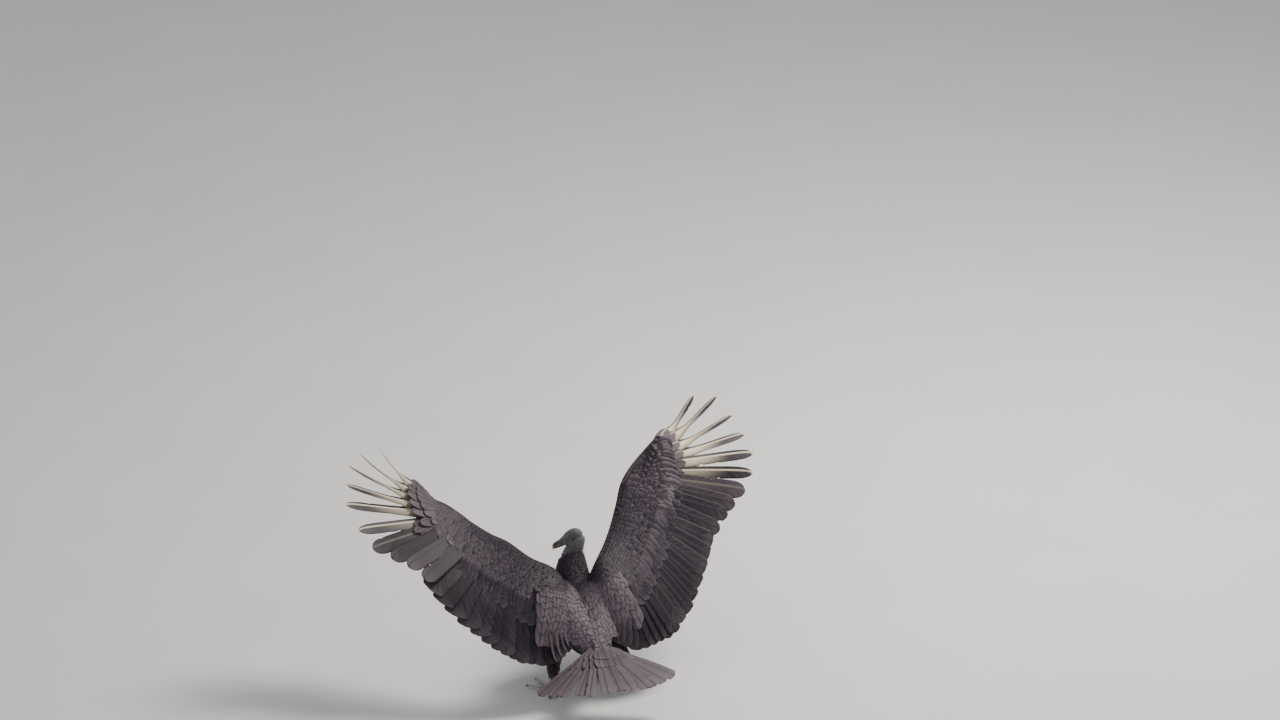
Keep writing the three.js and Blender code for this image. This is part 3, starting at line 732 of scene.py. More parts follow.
# %% Thigh coats
def thigh_coat(name):
    """Loose feathers of the feathered leg down to the ankle."""
    rings = thigh_points(SIDES[name])
    surface = limb_surface(rings)
    spacing = 11
    starts = np.linspace(0.02, 0.88, 17)
    roots = rows_of(starts, lambda t: 2 * np.pi * along(rings, t)[0, 3] / spacing, low=-np.pi, high=np.pi)
    t, angle = roots.T
    copies = len(roots)
    length = mix(44, 20, ease(t, 0.3, 1.0)) * chance.uniform(0.85, 1.15, copies)
    width = mix(19, 9, ease(t, 0.3, 1.0)) * chance.uniform(0.9, 1.1, copies)
    flow = surface(t + 0.06, angle) - surface(t, angle)
    points = lay(surface, -1, roots, unit(flow) + chance.normal(0, 0.1, (copies, 3)), length, width,
                 mix(6.0, 2.5, ease(t, 0.4, 1.0)), mix(1.4, 0.8, t), BODY_VANE, fray=0.2)
    unwrap = np.stack([angle / (2 * np.pi) + 0.5, t], -1)
    return coat(f"thigh_feathers_{name}", points, BODY_VANE, unwrap, length, width, 0.1)


for name in SIDES:
    dress(thigh_coat(name), plumage_look)

# %% [markdown]
# ## Flight feathers
# Primaries, secondaries and tail feathers are stiff: a raised shaft nearer the leading side, a narrow outer
# web and a broad inner one. Each is worked out on its own curve from root to tip, tilted a little so that it
# slides under its neighbour nearer the body, with a few splits where barbs have parted.

# %% One flight feather
def flight_feather(root, tip, normal, outward, widths, shares=(0.36, 0.64), bend=0.0, sweep=0.0, tilt=0.06,
                   point=0.9, splits=2, root_normal=None):
    """Points of one feather: outward is the leading side, shares split the width at the shaft, bend and sweep
    bow it in millimetres. A feather with a root_normal of its own is twisted along its length."""
    t, u, face = FLIGHT_VANE["along"], FLIGHT_VANE["across"], FLIGHT_VANE["face"]
    run = unit(tip - root)
    lift_way = unit(normal - (normal @ run) * run)
    across_way = np.cross(run, lift_way)
    outside = np.sign(across_way @ outward) or 1.0
    belly = mix(root, tip, 0.55) - lift_way * bend - across_way * sweep
    share = t[:, None]
    spine = root * (1 - share) ** 2 + belly * 2 * share * (1 - share) + tip * share**2
    tangent = unit((belly - root) * 2 * (1 - share) + (tip - belly) * 2 * share)
    faced = unit(normal if root_normal is None else mix(root_normal, normal, ease(share, 0.2, 0.6)))
    wide = unit(np.cross(tangent, faced)) * outside
    thick = unit(np.cross(wide, tangent)) * outside
    total = along(widths, t)[:, 0]
    close = np.clip((t - point) / (1 - point), 0, 1)
    total = total * np.sqrt(np.clip(1 - 0.97 * close**2.6, 0, 1))
    for _ in range(splits):
        spot, hand, deep = chance.uniform(0.3, 0.92), chance.choice([-1, 1]), chance.uniform(0.1, 0.3)
        notch = np.clip(1 - np.abs(t - spot) / 0.018, 0, 1) * (u * hand > 0)
        total = total * (1 - deep * notch)
    inner_over = total * (shares[1] - shares[0]) / 2
    off = np.where(u > 0, u * shares[0], u * shares[1]) * total
    shaft = np.exp(-((u * total / 2.6) ** 2)) * (1 - 0.75 * t)
    body = np.where(np.abs(u) > 0.9, 0.14, 0.32) * mix(1.0, 0.9 / 2.2, t)
    rise = face * (body + 1.05 * shaft) + tilt * off - 0.00045 * off**2 * total / 40
    points = spine + wide * (off + inner_over)[:, None] + thick * rise[:, None]
    length = np.linalg.norm(tip - root)
    return points, off, length * t


def flight_piece(name, feathers, painted_sun, pale=None, ivory_and_glint=0.0):
    """Joins flight feathers; the unwrap gives each its own strip, wide enough to keep its shaft."""
    count = len(feathers)
    points, off, ahead = (np.stack(part) for part in zip(*feathers))
    t, u = FLIGHT_VANE["along"], FLIGHT_VANE["across"]
    strip = (np.arange(count)[:, None] + 0.5 + 0.45 * u[None]) / count
    bake_map = np.stack([strip, np.broadcast_to(0.01 + 0.98 * t, strip.shape)], -1)
    # the painted sunlight mark says how lit each feather is painted; the cream shaft mark can also paint
    # glints
    marks = {"tone": chance.random(count), "painted_sun": np.broadcast_to(painted_sun, (count,)),
             "shaft": np.clip(1.25 - np.abs(off) / 2.4, 0, 1),
             "tip": np.broadcast_to(ease(t, 0.75, 1.0), strip.shape),
             "pale": np.zeros(strip.shape) if pale is None else pale,
             "ivory_and_glint": np.broadcast_to(ivory_and_glint, (count,))[:, None] * ease(t, 0.2, 0.3)}
    return feather_mesh(name, points, FLIGHT_VANE, marks, np.stack([off, ahead], -1) / 100, bake_map)


# %% Secondaries
def secondary_row(name):
    """The flight feathers of the arm, nearest the body first."""
    row = []
    for number in range(SECONDARIES):
        k = (number + 0.5) / SECONDARIES
        root = wing_point(name, mix(0.2, 0.69, k), 0.33)[0]
        tip = wing_point(name, mix(0.13, 0.79, k), 1.0)[0]
        span = wing_point(name, mix(0.18, 0.84, k), 1.0)[0] - wing_point(name, mix(0.08, 0.74, k), 1.0)[0]
        pitch = np.linalg.norm(span) * 0.66 / SECONDARIES / 0.1
        tip = tip + unit(tip - root) * chance.uniform(-4, 2)
        normal = wing_normal(name, mix(0.15, 0.72, k))[0]
        widths = np.array([0.72, 0.95, 1, 1, 1, 0.98]) * pitch * 1.55
        row.append(flight_feather(root, tip, normal, span, widths, bend=-9, tilt=0.05, point=0.92))
    return row


for name in SIDES:
    row = flight_piece(f"secondary_feathers_{name}", secondary_row(name), painted_sun=0.03)
    dress(row, flight_look, [f"secondaries_{name}"])


# %% [markdown]
# ## Primaries
# Ten to a hand. The inner four carry on the row of the arm. The outer six are cut narrow beyond the middle
# and stand apart like fingers; their shafts are ivory and their inner webs pale at the base.

# %% Primary row
def primary_row(name, share_of_length=1.0, over=0.0, width_share=1.0):
    """Primaries by number from the wrist out; shortened and lifted, the same curves carry their coverts."""
    wing, side = WINGS[name], SIDES[name]
    wrist, hand_end = np.array(wing["wrist"], float), np.array(wing["hand_end"], float)
    tips = np.array(wing["primary_tips"], float)
    whole = share_of_length == 1
    row = []
    for number in range(1, PRIMARIES + 1):
        share = (number - 1) / (PRIMARIES - 1)
        inner = number <= INNER_PRIMARIES
        on_hand = mix(0.0, 0.42, (number - 0.5) / INNER_PRIMARIES) if inner else mix(0.02, 0.96, share)
        root = mix(wrist, hand_end, on_hand)
        tip = tips[number - 1]
        outward = tips[min(number, PRIMARIES - 1)] - tips[max(number - 2, 0)]
        wing_faces = wing_normal(name, mix(0.72, 0.9, share))[0]
        twist = (0.86 if whole else 0.3) * float(ease(share, 0.4, 0.85))
        normal = unit(mix(wing_faces, FINGER_NORMAL * [side, 1, 1], twist))
        if inner:
            widths = np.array([0.6, 0.9, 1, 1, 0.98, 0.9]) * 52
            bow = {"shares": (0.34, 0.66), "bend": -4}
        else:
            finger = FINGER_WIDTHS[number - INNER_PRIMARIES - 1]
            widths = np.array([32, 38, 34, finger * 1.08, finger * 1.08, finger * 1.08, finger * 0.88])
            bow = {"shares": (0.3, 0.7), "bend": mix(3, 26, share) * share_of_length**2,
                   "sweep": side * mix(4, 16, share) * share_of_length**2}
        widths = along(widths, np.linspace(0, share_of_length, 7))[:, 0] * width_share
        reach = share_of_length * (1 if whole else 1 - 0.06 * float(ease(share, 0.5, 1.0)))
        end = mix(root, tip + unit(tip - root) * (0 if inner else 7), reach)
        lift_by = normal * (over - 1.1 * max(INNER_PRIMARIES + 1 - number, 0))
        sunk = lift_by
        if not whole:
            widths = widths * [0.35, 0.7, 0.95, 1, 1, 1, 1]
            sunk = lift_by - normal * 4.5 * np.sign(over)
        row.append(flight_feather(root + sunk, end + lift_by, normal, outward, widths, tilt=0.06,
                                  point=0.86 if whole else 0.62, splits=2 if whole else 0,
                                  root_normal=wing_faces, **bow))
    return row


def primary_paleness(most):
    """Ivory bases of the outer six, mostly on the inner web, fading out past the middle."""
    t, u = FLIGHT_VANE["along"], FLIGHT_VANE["across"]
    paint = []
    for number in range(1, PRIMARIES + 1):
        strength = most * float(ease(number, 3.6, 6.5))
        inner_web = np.where(u < 0, 1 - 0.8 * np.abs(u) ** 1.3, 0.3 * (1 - u))
        paint.append(strength * inner_web * (1 - ease(t, 0.42, 0.8)) * ease(t, 0.26, 0.36))
    return np.array(paint)


numbers = np.arange(1, PRIMARIES + 1)
# the pale webs are real; the left hand gets them at half strength as painted shade on that hand
for name, most in (("left", 0.5), ("right", 1.0)):
    row = flight_piece(f"primary_feathers_{name}", primary_row(name), painted_sun=0.12, pale=primary_paleness(most),
                       ivory_and_glint=ease(numbers, 3.5, 5.5))
    dress(row, flight_look,
          [f"inner_primaries_{name}", *(f"primary_{n}_{name}" for n in numbers[INNER_PRIMARIES:])])

# %% [markdown]
# ## Tail
# Twelve feathers fanned from one root, the middle pair on top, the outer ones drooping. Their ends are
# nearly square and a little worn, with gaps between them, and those on the left are narrower.

# %% Tail row
def tail_point(k, reach=1.0, above=0.0):
    """Along the tail: k from the left edge to the right edge, reach from root to tip."""
    root = np.array([mix(-13, 13, k), RUMP[1] + 8, RUMP[2] - 12])
    angle = math.radians(mix(*TAIL_FAN, k))
    edge = abs(k * 2 - 1)
    droop = math.radians(9 + 13 * edge**1.5 * (1 if k < 0.5 else 0.45))
    flat = math.cos(droop) * (TAIL_LENGTH - 6 * (1 - edge)) * reach
    return root + [math.sin(angle) * flat, -math.cos(angle) * flat, above - math.tan(droop) * flat]


def tail_row(reach=1.0, above=0.0, count=TAIL_FEATHERS, width=41.0, ragged=9.0):
    """Tail feathers, or their coverts when shortened and raised."""
    whole = reach == 1
    row = []
    for number in range(count):
        k = (number + 0.5) / count + (TAIL_GAPS[number] if whole else 0)
        height = above + 1.6 * (1 - abs(2 * k - 1))
        worn = unit(tail_point(k, 1) - tail_point(k, 0)) * chance.uniform(-ragged, 1)
        widths = np.array([0.45, 0.68, 0.86, 0.98, 1.04, 1.02]) * width * (0.98 if k > 0.4 else 0.7)
        row.append(flight_feather(tail_point(k, 0.0, height), tail_point(k, reach, height) + worn,
                                  np.array([mix(0.25, -0.25, k), 0, 1.0]), np.array([k - 0.5, 0, 0]), widths,
                                  shares=(0.42, 0.58), bend=-7 * reach, tilt=0.05,
                                  point=0.955 if whole else 0.6, splits=2 if whole else 0))
    return row


# painted sunlight: the tail lighter on its right side than on its left
row = flight_piece("tail_feathers", tail_row(), painted_sun=mix(0.34, 0.5, np.linspace(0, 1, TAIL_FEATHERS)))
dress(row, flight_look, ["tail"])

# %% [markdown]
# ## Coverts
# The wing's own coat: many rows of small feathers from the leading edge back, then the median and the
# greater coverts, whose ends make the long curved line across the wing. The under side has the same, a
# little plainer. Round the leading edge itself five rows run along the wing. Over the hand a fan of coverts
# hides the roots of the primaries.

# %% Rows of coverts on the arm
MEDIAN_ROW = (0.37, 54, 26, 3.0)
EDGE_ROWS = (-0.16, -0.08, 0.0, 0.08, 0.16)
EDGE_FEATHER = (21, 11, 1.6)


def covert_roots(above):
    """Roots t, v of one face's small coverts, and each one's length, width and depth under the coat."""
    starts = np.linspace(0.008, 0.34, 12)
    grown = starts / 0.34
    rows = [*zip(starts, mix(32, 54, grown), mix(16, 25, grown), mix(1.9, 2.8, grown)), MEDIAN_ROW]
    roots, sizes = [], []
    for number, (c, length, width, depth) in enumerate(rows):
        for t in np.arange(-0.01, 1.0, width * (0.5 if above else 0.62) / WING_SPAN):
            room_left = along(COVERT_REACH, np.clip(t, 0, 1))[0, 0]
            if c > room_left * 0.8 or (not above and number % 4 == 3):
                continue
            shake = (chance.uniform(-0.25, 0.25) + 0.3 * (number % 2)) * width / WING_SPAN
            slip = chance.uniform(-0.5, 0.5) * 2.4 / WING_CHORD * float(ease(c, 0.03, 0.1))
            v = math.copysign(math.sqrt(abs(c + slip)), c + slip)
            roots.append((t + shake, v if above else -v))
            sizes.append((length * mix(0.72, 1.0, min(room_left / 0.5, 1)), width, depth))
    for v in EDGE_ROWS if above else ():
        for t in np.arange(-0.02, 0.97, 6.5 / WING_SPAN):
            roots.append((t + chance.uniform(-0.003, 0.003), v + chance.uniform(-0.015, 0.015)))
            sizes.append(EDGE_FEATHER)
    return np.array(roots), np.array(sizes).T


def covert_coat(name, above):
    """All small coverts of one face of a wing."""
    roots, (length, width, depth) = covert_roots(above)
    copies = len(roots)
    length = length * chance.uniform(0.88, 1.12, copies)
    t = np.clip(roots[:, 0], 0, 1)
    chord = unit(wing_point(name, t, 1) - wing_point(name, t, 0))
    inner, outer = np.maximum(t - 0.05, 0), np.minimum(t + 0.05, 1)
    span = unit(wing_point(name, outer, 0.4) - wing_point(name, inner, 0.4))
    flow = chord + span * mix(0.06, 0.42, ease(t, 0.55, 1.0))[:, None] + chance.normal(0, 0.045, (copies, 3))
    on_edge = width == EDGE_FEATHER[1]
    flow = np.where(on_edge[:, None], 0.25 * chord + span, flow)
    over_the_next = np.where(width == MEDIAN_ROW[2], 2.4, 0.3)
    points = lay(wing_surface(name), SIDES[name], roots, flow, length, width, depth, over_the_next,
                 SMALL_VANE, point=0.42, fray=0.03)
    # painted shade along the leading edge, painted sunlight rising onto the hand (more on the right wing), a
    # little evenly beneath
    edge = 1 - ease(roots[:, 1] ** 2, 0.04, 0.16)
    on_hand = 0.3 if name == "left" else 0.4
    painted_sun = mix(mix(0.16, 0.0, edge), on_hand, ease(t, 0.66, 0.8)) if above else 0.1
    unwrap = np.stack([t, 0.5 + 0.7 * roots[:, 1]], -1)
    title = f"{'upper' if above else 'under'}_wing_coverts_{name}"
    return coat(title, points, SMALL_VANE, unwrap, length, width, painted_sun)


# %% Greater coverts and the fan over the hand
def greater_coverts(name):
    """The long last row over the secondaries, above and beneath, as flight feathers cut short."""
    row = []
    for over in (2.6, -2.6):
        for number in range(SECONDARIES + 2):
            k = (number + 0.2) / (SECONDARIES + 1)
            reach = mix(0.645, 0.6, k) + chance.uniform(-0.012, 0.012)
            normal = wing_normal(name, mix(0.15, 0.72, k))[0]
            root = wing_point(name, mix(0.16, 0.7, k), 0.33)[0] + normal * (over + 2)
            tip = wing_point(name, mix(0.125, 0.755, k), reach)[0] + normal * (over * 0.7 + 4.2)
            outward = wing_point(name, mix(0.2, 0.8, k), 0.6)[0] - wing_point(name, mix(0.1, 0.7, k), 0.6)[0]
            row.append(flight_feather(root, tip, normal, outward, [26, 34, 37, 37, 36, 34],
                                      bend=-2, tilt=0.04, point=0.55, splits=0))
    return row


def hand_coverts(name):
    """Greater and median coverts of the primaries, above and beneath."""
    return (primary_row(name, 0.38, 3.0, width_share=0.95) + primary_row(name, 0.27, 4.4, width_share=0.9)
            + primary_row(name, 0.34, -3.0, width_share=0.9))


def small_quills(name):
    """The alula on the thumb: three short stiff feathers along the leading edge."""
    normal = wing_normal(name, 0.8)[0]
    outward = wing_point(name, 0.8, 0.0)[0] - wing_point(name, 0.8, 0.3)[0]
    row = []
    for number in range(3):
        root = wing_point(name, 0.695 + 0.012 * number, 0.03 + 0.05 * number)[0]
        tip = wing_point(name, 0.9 - 0.03 * number, 0.02 + 0.06 * number)[0]
        lift_by = normal * (7.5 - 1.6 * number)
        row.append(flight_feather(root + lift_by * 0.4, tip + lift_by * 0.9, normal, outward,
                                  [14, 20, 21, 19, 15], bend=2, tilt=0.05, point=0.6, splits=0))
    return row


# each hand's coverts get painted sunlight, more on the right, and the right hand's outer coverts get painted
# glints on their shafts
for name, hand_sunlight, glint in (("left", 0.36, 0.0), ("right", 0.52, 0.6)):
    for above in (True, False):
        dress(covert_coat(name, above), plumage_look)
    dress(flight_piece(f"greater_coverts_{name}", greater_coverts(name), painted_sun=0.1), plumage_look)
    row = flight_piece(f"hand_coverts_{name}", hand_coverts(name), painted_sun=hand_sunlight,
                       ivory_and_glint=np.tile(glint * ease(numbers, 6, 8), 3))
    dress(row, plumage_look)
    dress(flight_piece(f"alula_feathers_{name}", small_quills(name), painted_sun=0.25), flight_look,
          [f"alula_{name}"])

# %% [markdown]
# ## Mantle, scapulars and tertials
# With the wings raised, the feathers over each shoulder blade fall back as one broad lobe, and the mantle
# between them bridges the hollow beside the spine. They are the largest of the body's coat and carry the most
# painted sunlight, lightest at the front.

# %% Shoulder surfaces
def scapular_surface(name):
    """The lobe over a shoulder: k from the body outward, reach from the shoulder back."""
    coat_below = wing_surface(name)

    def place(k, reach):
        t = mix(mix(0.03, 0.22, k), mix(0.02, 0.2, k), reach)
        c = mix(mix(0.1, 0.2, k), mix(0.74, 0.84, k), reach)
        height = mix(21.5, 7, reach) + 28 * reach * (1 - reach)
        normal = wing_normal(name, np.maximum(t, 0.1))
        lobe = wing_point(name, t, c) + normal * height[:, None]
        close = coat_below(np.maximum(t, 0.0), np.sqrt(np.maximum(c, 0.0))) + normal * 0.6
        share = ease(reach, -0.08, 0.22)[:, None]
        return close * (1 - share) + lobe * share
    return place


def mantle_surface(name):
    """From the middle of the back (0) out to the lobe (1), and from shoulders (0) back to rump (1)."""
    lobe, body = scapular_surface(name), trunk_surface()

    def place(out, back):
        out_share = out[:, None]
        inner = body(mix(0.86, 0.03, back), 0 * back) + TRUNK_UP * 2
        outer = lobe(0.34 + 0 * back, np.clip(back, -0.2, 1.2))
        bulge = (TRUNK_UP * 13 - TRUNK_RUN * 5) * (1 - 0.8 * ease(back, 0.4, 1.0))[:, None]
        crest = (inner + outer) / 2 + bulge
        return inner * (1 - out_share) ** 2 + crest * 2 * out_share * (1 - out_share) + outer * out_share**2
    return place


# %% Mantle and scapular coats
def lobe_coat(title, name, surface, roots, sizes, varied, spread, depth, lift, unwrap_from, unwrap_wide,
              painted_suns):
    """A coat on a shoulder surface whose feathers point the way its second number, back, runs. Its painted
    sunlight is given as the amount at its front and at its end, and where back of the two the change begins
    and ends."""
    roots, (length, width) = np.array(roots), np.array(sizes).T
    copies = len(roots)
    length = length * chance.uniform(1 - varied, 1 + varied, copies)
    flow = unit(surface(roots[:, 0], roots[:, 1] + 0.05) - surface(*roots.T))
    flow = flow + chance.normal(0, spread, (copies, 3))
    points = lay(surface, -SIDES[name], roots, flow, length, width, depth, lift, BODY_VANE, fray=0.06)
    front, end, begins, ends = painted_suns
    # painted sunlight, changing from front to end and fading in at the lobe's root
    painted_sun = mix(front, end, ease(roots[:, 1], begins, ends)) * ease(roots[:, 1], -0.16, 0.04)
    unwrap = np.array(unwrap_from) + np.array(unwrap_wide) * roots
    return coat(title, points, BODY_VANE, unwrap, length, width, painted_sun)


def shoulder_coat(name):
    """The lobe's feathers, growing longer towards its end."""
    roots, sizes = [], []
    for number, start in enumerate(np.linspace(-0.1, 0.6, 11)):
        for k in np.arange(-0.16, 1.08, 0.15):
            roots.append((k + 0.075 * (number % 2) + chance.uniform(-0.035, 0.035),
                          start + chance.uniform(-0.03, 0.03)))
            sizes.append((mix(36, 70, ease(start, 0, 0.6)), mix(21, 31, ease(start, 0, 0.6))))
    return lobe_coat(f"scapular_feathers_{name}", name, scapular_surface(name), roots, sizes, varied=0.15,
                     spread=0.06, depth=4.0, lift=1.0, unwrap_from=(0.2, 0.1), unwrap_wide=(0.6, 0.8),
                     painted_suns=(0.58, 0.42, 0.0, 0.6))


def mantle_coat(name):
    """Feathers of the upper back between the spine and the lobe."""
    roots, sizes = [], []
    for number, back in enumerate(np.linspace(-0.12, 0.8, 15)):
        for out in np.arange(-0.02, 1.0, 0.14):
            if out > mix(1.1, 0.35, ease(back, 0.62, 0.85)):
                continue
            roots.append((out + 0.07 * (number % 2) + chance.uniform(-0.035, 0.035),
                          back + chance.uniform(-0.02, 0.02)))
            sizes.append((mix(34, 54, ease(back, 0, 0.6)), mix(20, 27, ease(back, 0, 0.6))))
    return lobe_coat(f"mantle_feathers_{name}", name, mantle_surface(name), roots, sizes, varied=0.1,
                     spread=0.07, depth=5.0, lift=0.8, unwrap_from=(0.1, 0.15), unwrap_wide=(0.8, 0.8),
                     painted_suns=(0.68, 0.46, 0.1, 0.7))


def tertial_row(name):
    """The innermost feathers of the arm, filling the gap to the body."""
    normal = wing_normal(name, 0.12)[0]
    outward = wing_point(name, 0.2, 0.9)[0] - wing_point(name, 0.05, 0.9)[0]
    row = []
    for k in np.linspace(0, 1, 4):
        root = wing_point(name, mix(0.06, 0.17, k), 0.36)[0]
        tip = wing_point(name, mix(0.03, 0.128, k), mix(0.9, 0.99, k))[0]
        lift_by = normal * mix(3.0, 1.0, k)
        row.append(flight_feather(root + lift_by, tip + lift_by, normal, outward,
                                  [30, 44, 50, 50, 46, 40], bend=-6, tilt=0.04, point=0.7))
    return row


for name in SIDES:
    dress(shoulder_coat(name), plumage_look, [f"scapulars_{name}"])
    dress(mantle_coat(name), plumage_look)
    dress(flight_piece(f"tertial_feathers_{name}", tertial_row(name), painted_sun=0.3), flight_look,
          [f"tertials_{name}"])

# %% Tail coverts
tail_coat = (tail_row(0.44, 5.5, 10, 34, 5) + tail_row(0.3, 9.0, 8, 32, 5)
             + tail_row(0.5, -5.5, 10, 36, 6) + tail_row(0.34, -9.0, 8, 34, 6))
dress(flight_piece("tail_coverts", tail_coat, painted_sun=0.4), plumage_look)

# %% [markdown]
# ## The skin
# Under the coat lies one bare skin: trunk, neck, head, wing arms and legs. Each is a flat grid rolled up
# into a closed tube on its own surface, smaller than the solids by the depth of the coat. Joined and
# remeshed they become one body without a seam, which is then smoothed and given its folds.

# %% Rolled tubes
def rolled(name, surface, rows, around, low=0.0, high=1.0):
    """A grid rolled round a surface of place and angle, its seam merged and its ends closed."""
    bpy.ops.object.select_all(action="DESELECT")
    bpy.ops.mesh.primitive_grid_add(x_subdivisions=rows, y_subdivisions=around, size=2)
    tube = bpy.context.object
    tube.name = name
    flat = np.array([v.co[:] for v in tube.data.vertices])
    points = surface(mix(low, high, (flat[:, 0] + 1) / 2), np.pi * flat[:, 1])
    tube.data.vertices.foreach_set("co", room(points).ravel())
    bpy.ops.object.mode_set(mode="EDIT")
    bpy.ops.mesh.select_all(action="SELECT")
    bpy.ops.mesh.remove_doubles(threshold=0.00005)
    bpy.ops.mesh.select_all(action="SELECT")
    bpy.ops.mesh.fill_holes(sides=0)
    bpy.ops.mesh.select_all(action="SELECT")
    bpy.ops.mesh.normals_make_consistent(inside=False)
    bpy.ops.object.mode_set(mode="OBJECT")
    tube.data.update()
    return tube


def head_surface(rings):
    """A part of the head from rings of ahead, half width, half height and rise, and the angle round."""
    def place(t, angle):
        ahead, wide, high, rise = along(rings, t).T
        wide, high = np.maximum(wide, 0.3), np.maximum(high, 0.3)
        return head_at(ahead, wide * np.sin(angle), rise + high * np.cos(angle))
    return place


def arm_flesh(name):
    """The wing's bones and muscle, well inside its coverts."""
    face = wing_surface(name, inset=4.5, swell_share=0.95)

    def place(t, angle):
        reach = along(COVERT_REACH, np.clip(t, 0, 1))[:, 0]
        across = 0.02 + 0.36 * reach * (1 - np.cos(angle))
        return face(t, np.where(np.sin(angle) < 0, -1, 1) * np.sqrt(across))
    return place


def toe_point(side, name, reach, height):
    """A place along a toe, in the bird's frame."""
    way = math.radians(TOES[name][0])
    return [side * (FOOT[0] + math.sin(way) * reach), FOOT[1] + math.cos(way) * reach, height]


def toe_points(side, name):
    """A toe with its two joints a little swollen and a waist between."""
    length, tip = TOES[name][1:]
    swells = [(0.0, 6.2, 6), (0.2, 5.6, 5.2), (0.42, 5.4, 5.6), (0.58, 4.9, 4.8), (0.76, 4.9, 5.2),
              (0.9, 4.3, 4.3), (1.02, 4.0, tip - 0.6)]
    return [[*toe_point(side, name, length * share, height), radius] for share, height, radius in swells]


def tarsus_points(side):
    """The bare leg from the ankle joint to the foot."""
    return mirrored([[ANKLE[0], ANKLE[1] + 5, ANKLE[2] + 7, 7], [ANKLE[0], ANKLE[1] - 3, ANKLE[2] - 2, 8.6],
                     [ANKLE[0], ANKLE[1] + 10, ANKLE[2] - 15, 6.0], [ANKLE[0], -22, 34, 5.4],
                     [FOOT[0], FOOT[1] - 14, FOOT[2] + 14, 6],
                     [FOOT[0], FOOT[1] - 2, FOOT[2] + 3, 8.5]], side)


# %% Join the flesh
flesh = [rolled("trunk_flesh", trunk_surface(inset=8), 40, 48, -0.02, 1.0),
         rolled("neck_flesh", neck_surface(inset=6), 40, 48, 0.0, 1.0),
         rolled("head_flesh", head_surface(SKULL_RINGS), 60, 48)]
for name, side in SIDES.items():
    flesh.append(rolled("arm_flesh", arm_flesh(name), 60, 24, 0.0, 0.99))
    flesh.append(rolled("thigh_flesh", limb_surface(thigh_points(side), inset=5), 30, 28, 0.0, 1.0))
    flesh.append(rolled("tarsus_flesh", limb_surface(tarsus_points(side)), 30, 24))
    flesh += [rolled("toe_flesh", limb_surface(toe_points(side, toe)), 36, 20) for toe in TOES]
print("flesh:", len(flesh), "closed tubes")
bpy.ops.object.select_all(action="DESELECT")
for piece in flesh:
    piece.select_set(True)
bpy.context.view_layer.objects.active = flesh[0]
bpy.ops.object.join()
skin = bpy.context.object
skin.name = "skin"
whole = skin.modifiers.new("one skin", "REMESH")
whole.mode = "VOXEL"
whole.voxel_size = 0.0022
bpy.ops.object.modifier_apply(modifier=whole.name)
soften = skin.modifiers.new("soften", "SMOOTH")
soften.factor, soften.iterations = 0.5, 4
bpy.ops.object.modifier_apply(modifier=soften.name)
print("remeshed skin:", len(skin.data.polygons), "faces")


# %% Where on the bird each point of the skin is
def bird_frame(mesh):
    """A mesh's points in the bird's frame, in millimetres."""
    flat = np.empty(len(mesh.vertices) * 3)
    mesh.vertices.foreach_get("co", flat)
    return (flat.reshape(-1, 3) * 1000 - SHIFT) @ TURN


def outward(mesh):
    """Each point's normal in the bird's frame."""
    flat = np.empty(len(mesh.vertices) * 3)
    mesh.vertex_normals.foreach_get("vector", flat)
    return flat.reshape(-1, 3) @ TURN


def bare_share(p):
    """1 on the bare head and upper neck, 0 under the coat."""
    neck_line = 348 - 6 * ease(p[:, 1], 100, 160)
    return ease(p[:, 2], neck_line - 14, neck_line + 4) * (np.abs(p[:, 0] - 8) < 75)


def leg_share(p):
    """1 on the bare legs and feet."""
    return ease(-p[:, 2], -76, -66) * (np.abs(p[:, 0]) > 30)


# %% Thin the hidden skin and refine the bare skin
hidden = skin.vertex_groups.new(name="hidden")
places = bird_frame(skin.data)
covered = np.flatnonzero((bare_share(places) < 0.01) & (leg_share(places) < 0.01))
hidden.add(covered.tolist(), 1.0, "REPLACE")
thin = skin.modifiers.new("thin", "DECIMATE")
thin.vertex_group = "hidden"
thin.ratio = 0.3
bpy.ops.object.modifier_apply(modifier=thin.name)
places = bird_frame(skin.data)
bare_points = (bare_share(places) > 0.2) | (leg_share(places) > 0.5)
bpy.ops.object.select_all(action="DESELECT")
skin.select_set(True)
bpy.context.view_layer.objects.active = skin
bpy.ops.object.mode_set(mode="EDIT")
bpy.ops.mesh.select_all(action="DESELECT")
bpy.ops.object.mode_set(mode="OBJECT")
for face in skin.data.polygons:
    face.select = all(bare_points[v] for v in face.vertices)
bpy.ops.object.mode_set(mode="EDIT")
bpy.ops.mesh.subdivide(number_cuts=1, smoothness=0.6)
bpy.ops.object.mode_set(mode="OBJECT")
print("skin:", sum(len(p.vertices) - 2 for p in skin.data.polygons), "triangles")


# %% [markdown]
# ### Folds of the head and neck
# The bare head is grey, wrinkled and thin skinned. Each fold is a hill or a groove drawn by a smooth formula
# on the head's own three distances, ahead, sideways and up, and added along the normal: lids round an almond
# opening, a brow, the ear, the corner of the mouth, and rings of loose skin round the neck.

# %% Relief
def hill(x, at, wide):
    """A smooth hump of height one."""
    return np.exp(-(((x - at) / wide) ** 2))


def head_distances(p):
    """How far each point is ahead, sideways and up on the head."""
    on_head = p - HEAD_CENTRE
    return on_head @ HEAD_RUN, on_head @ HEAD_SIDE, on_head @ HEAD_UP


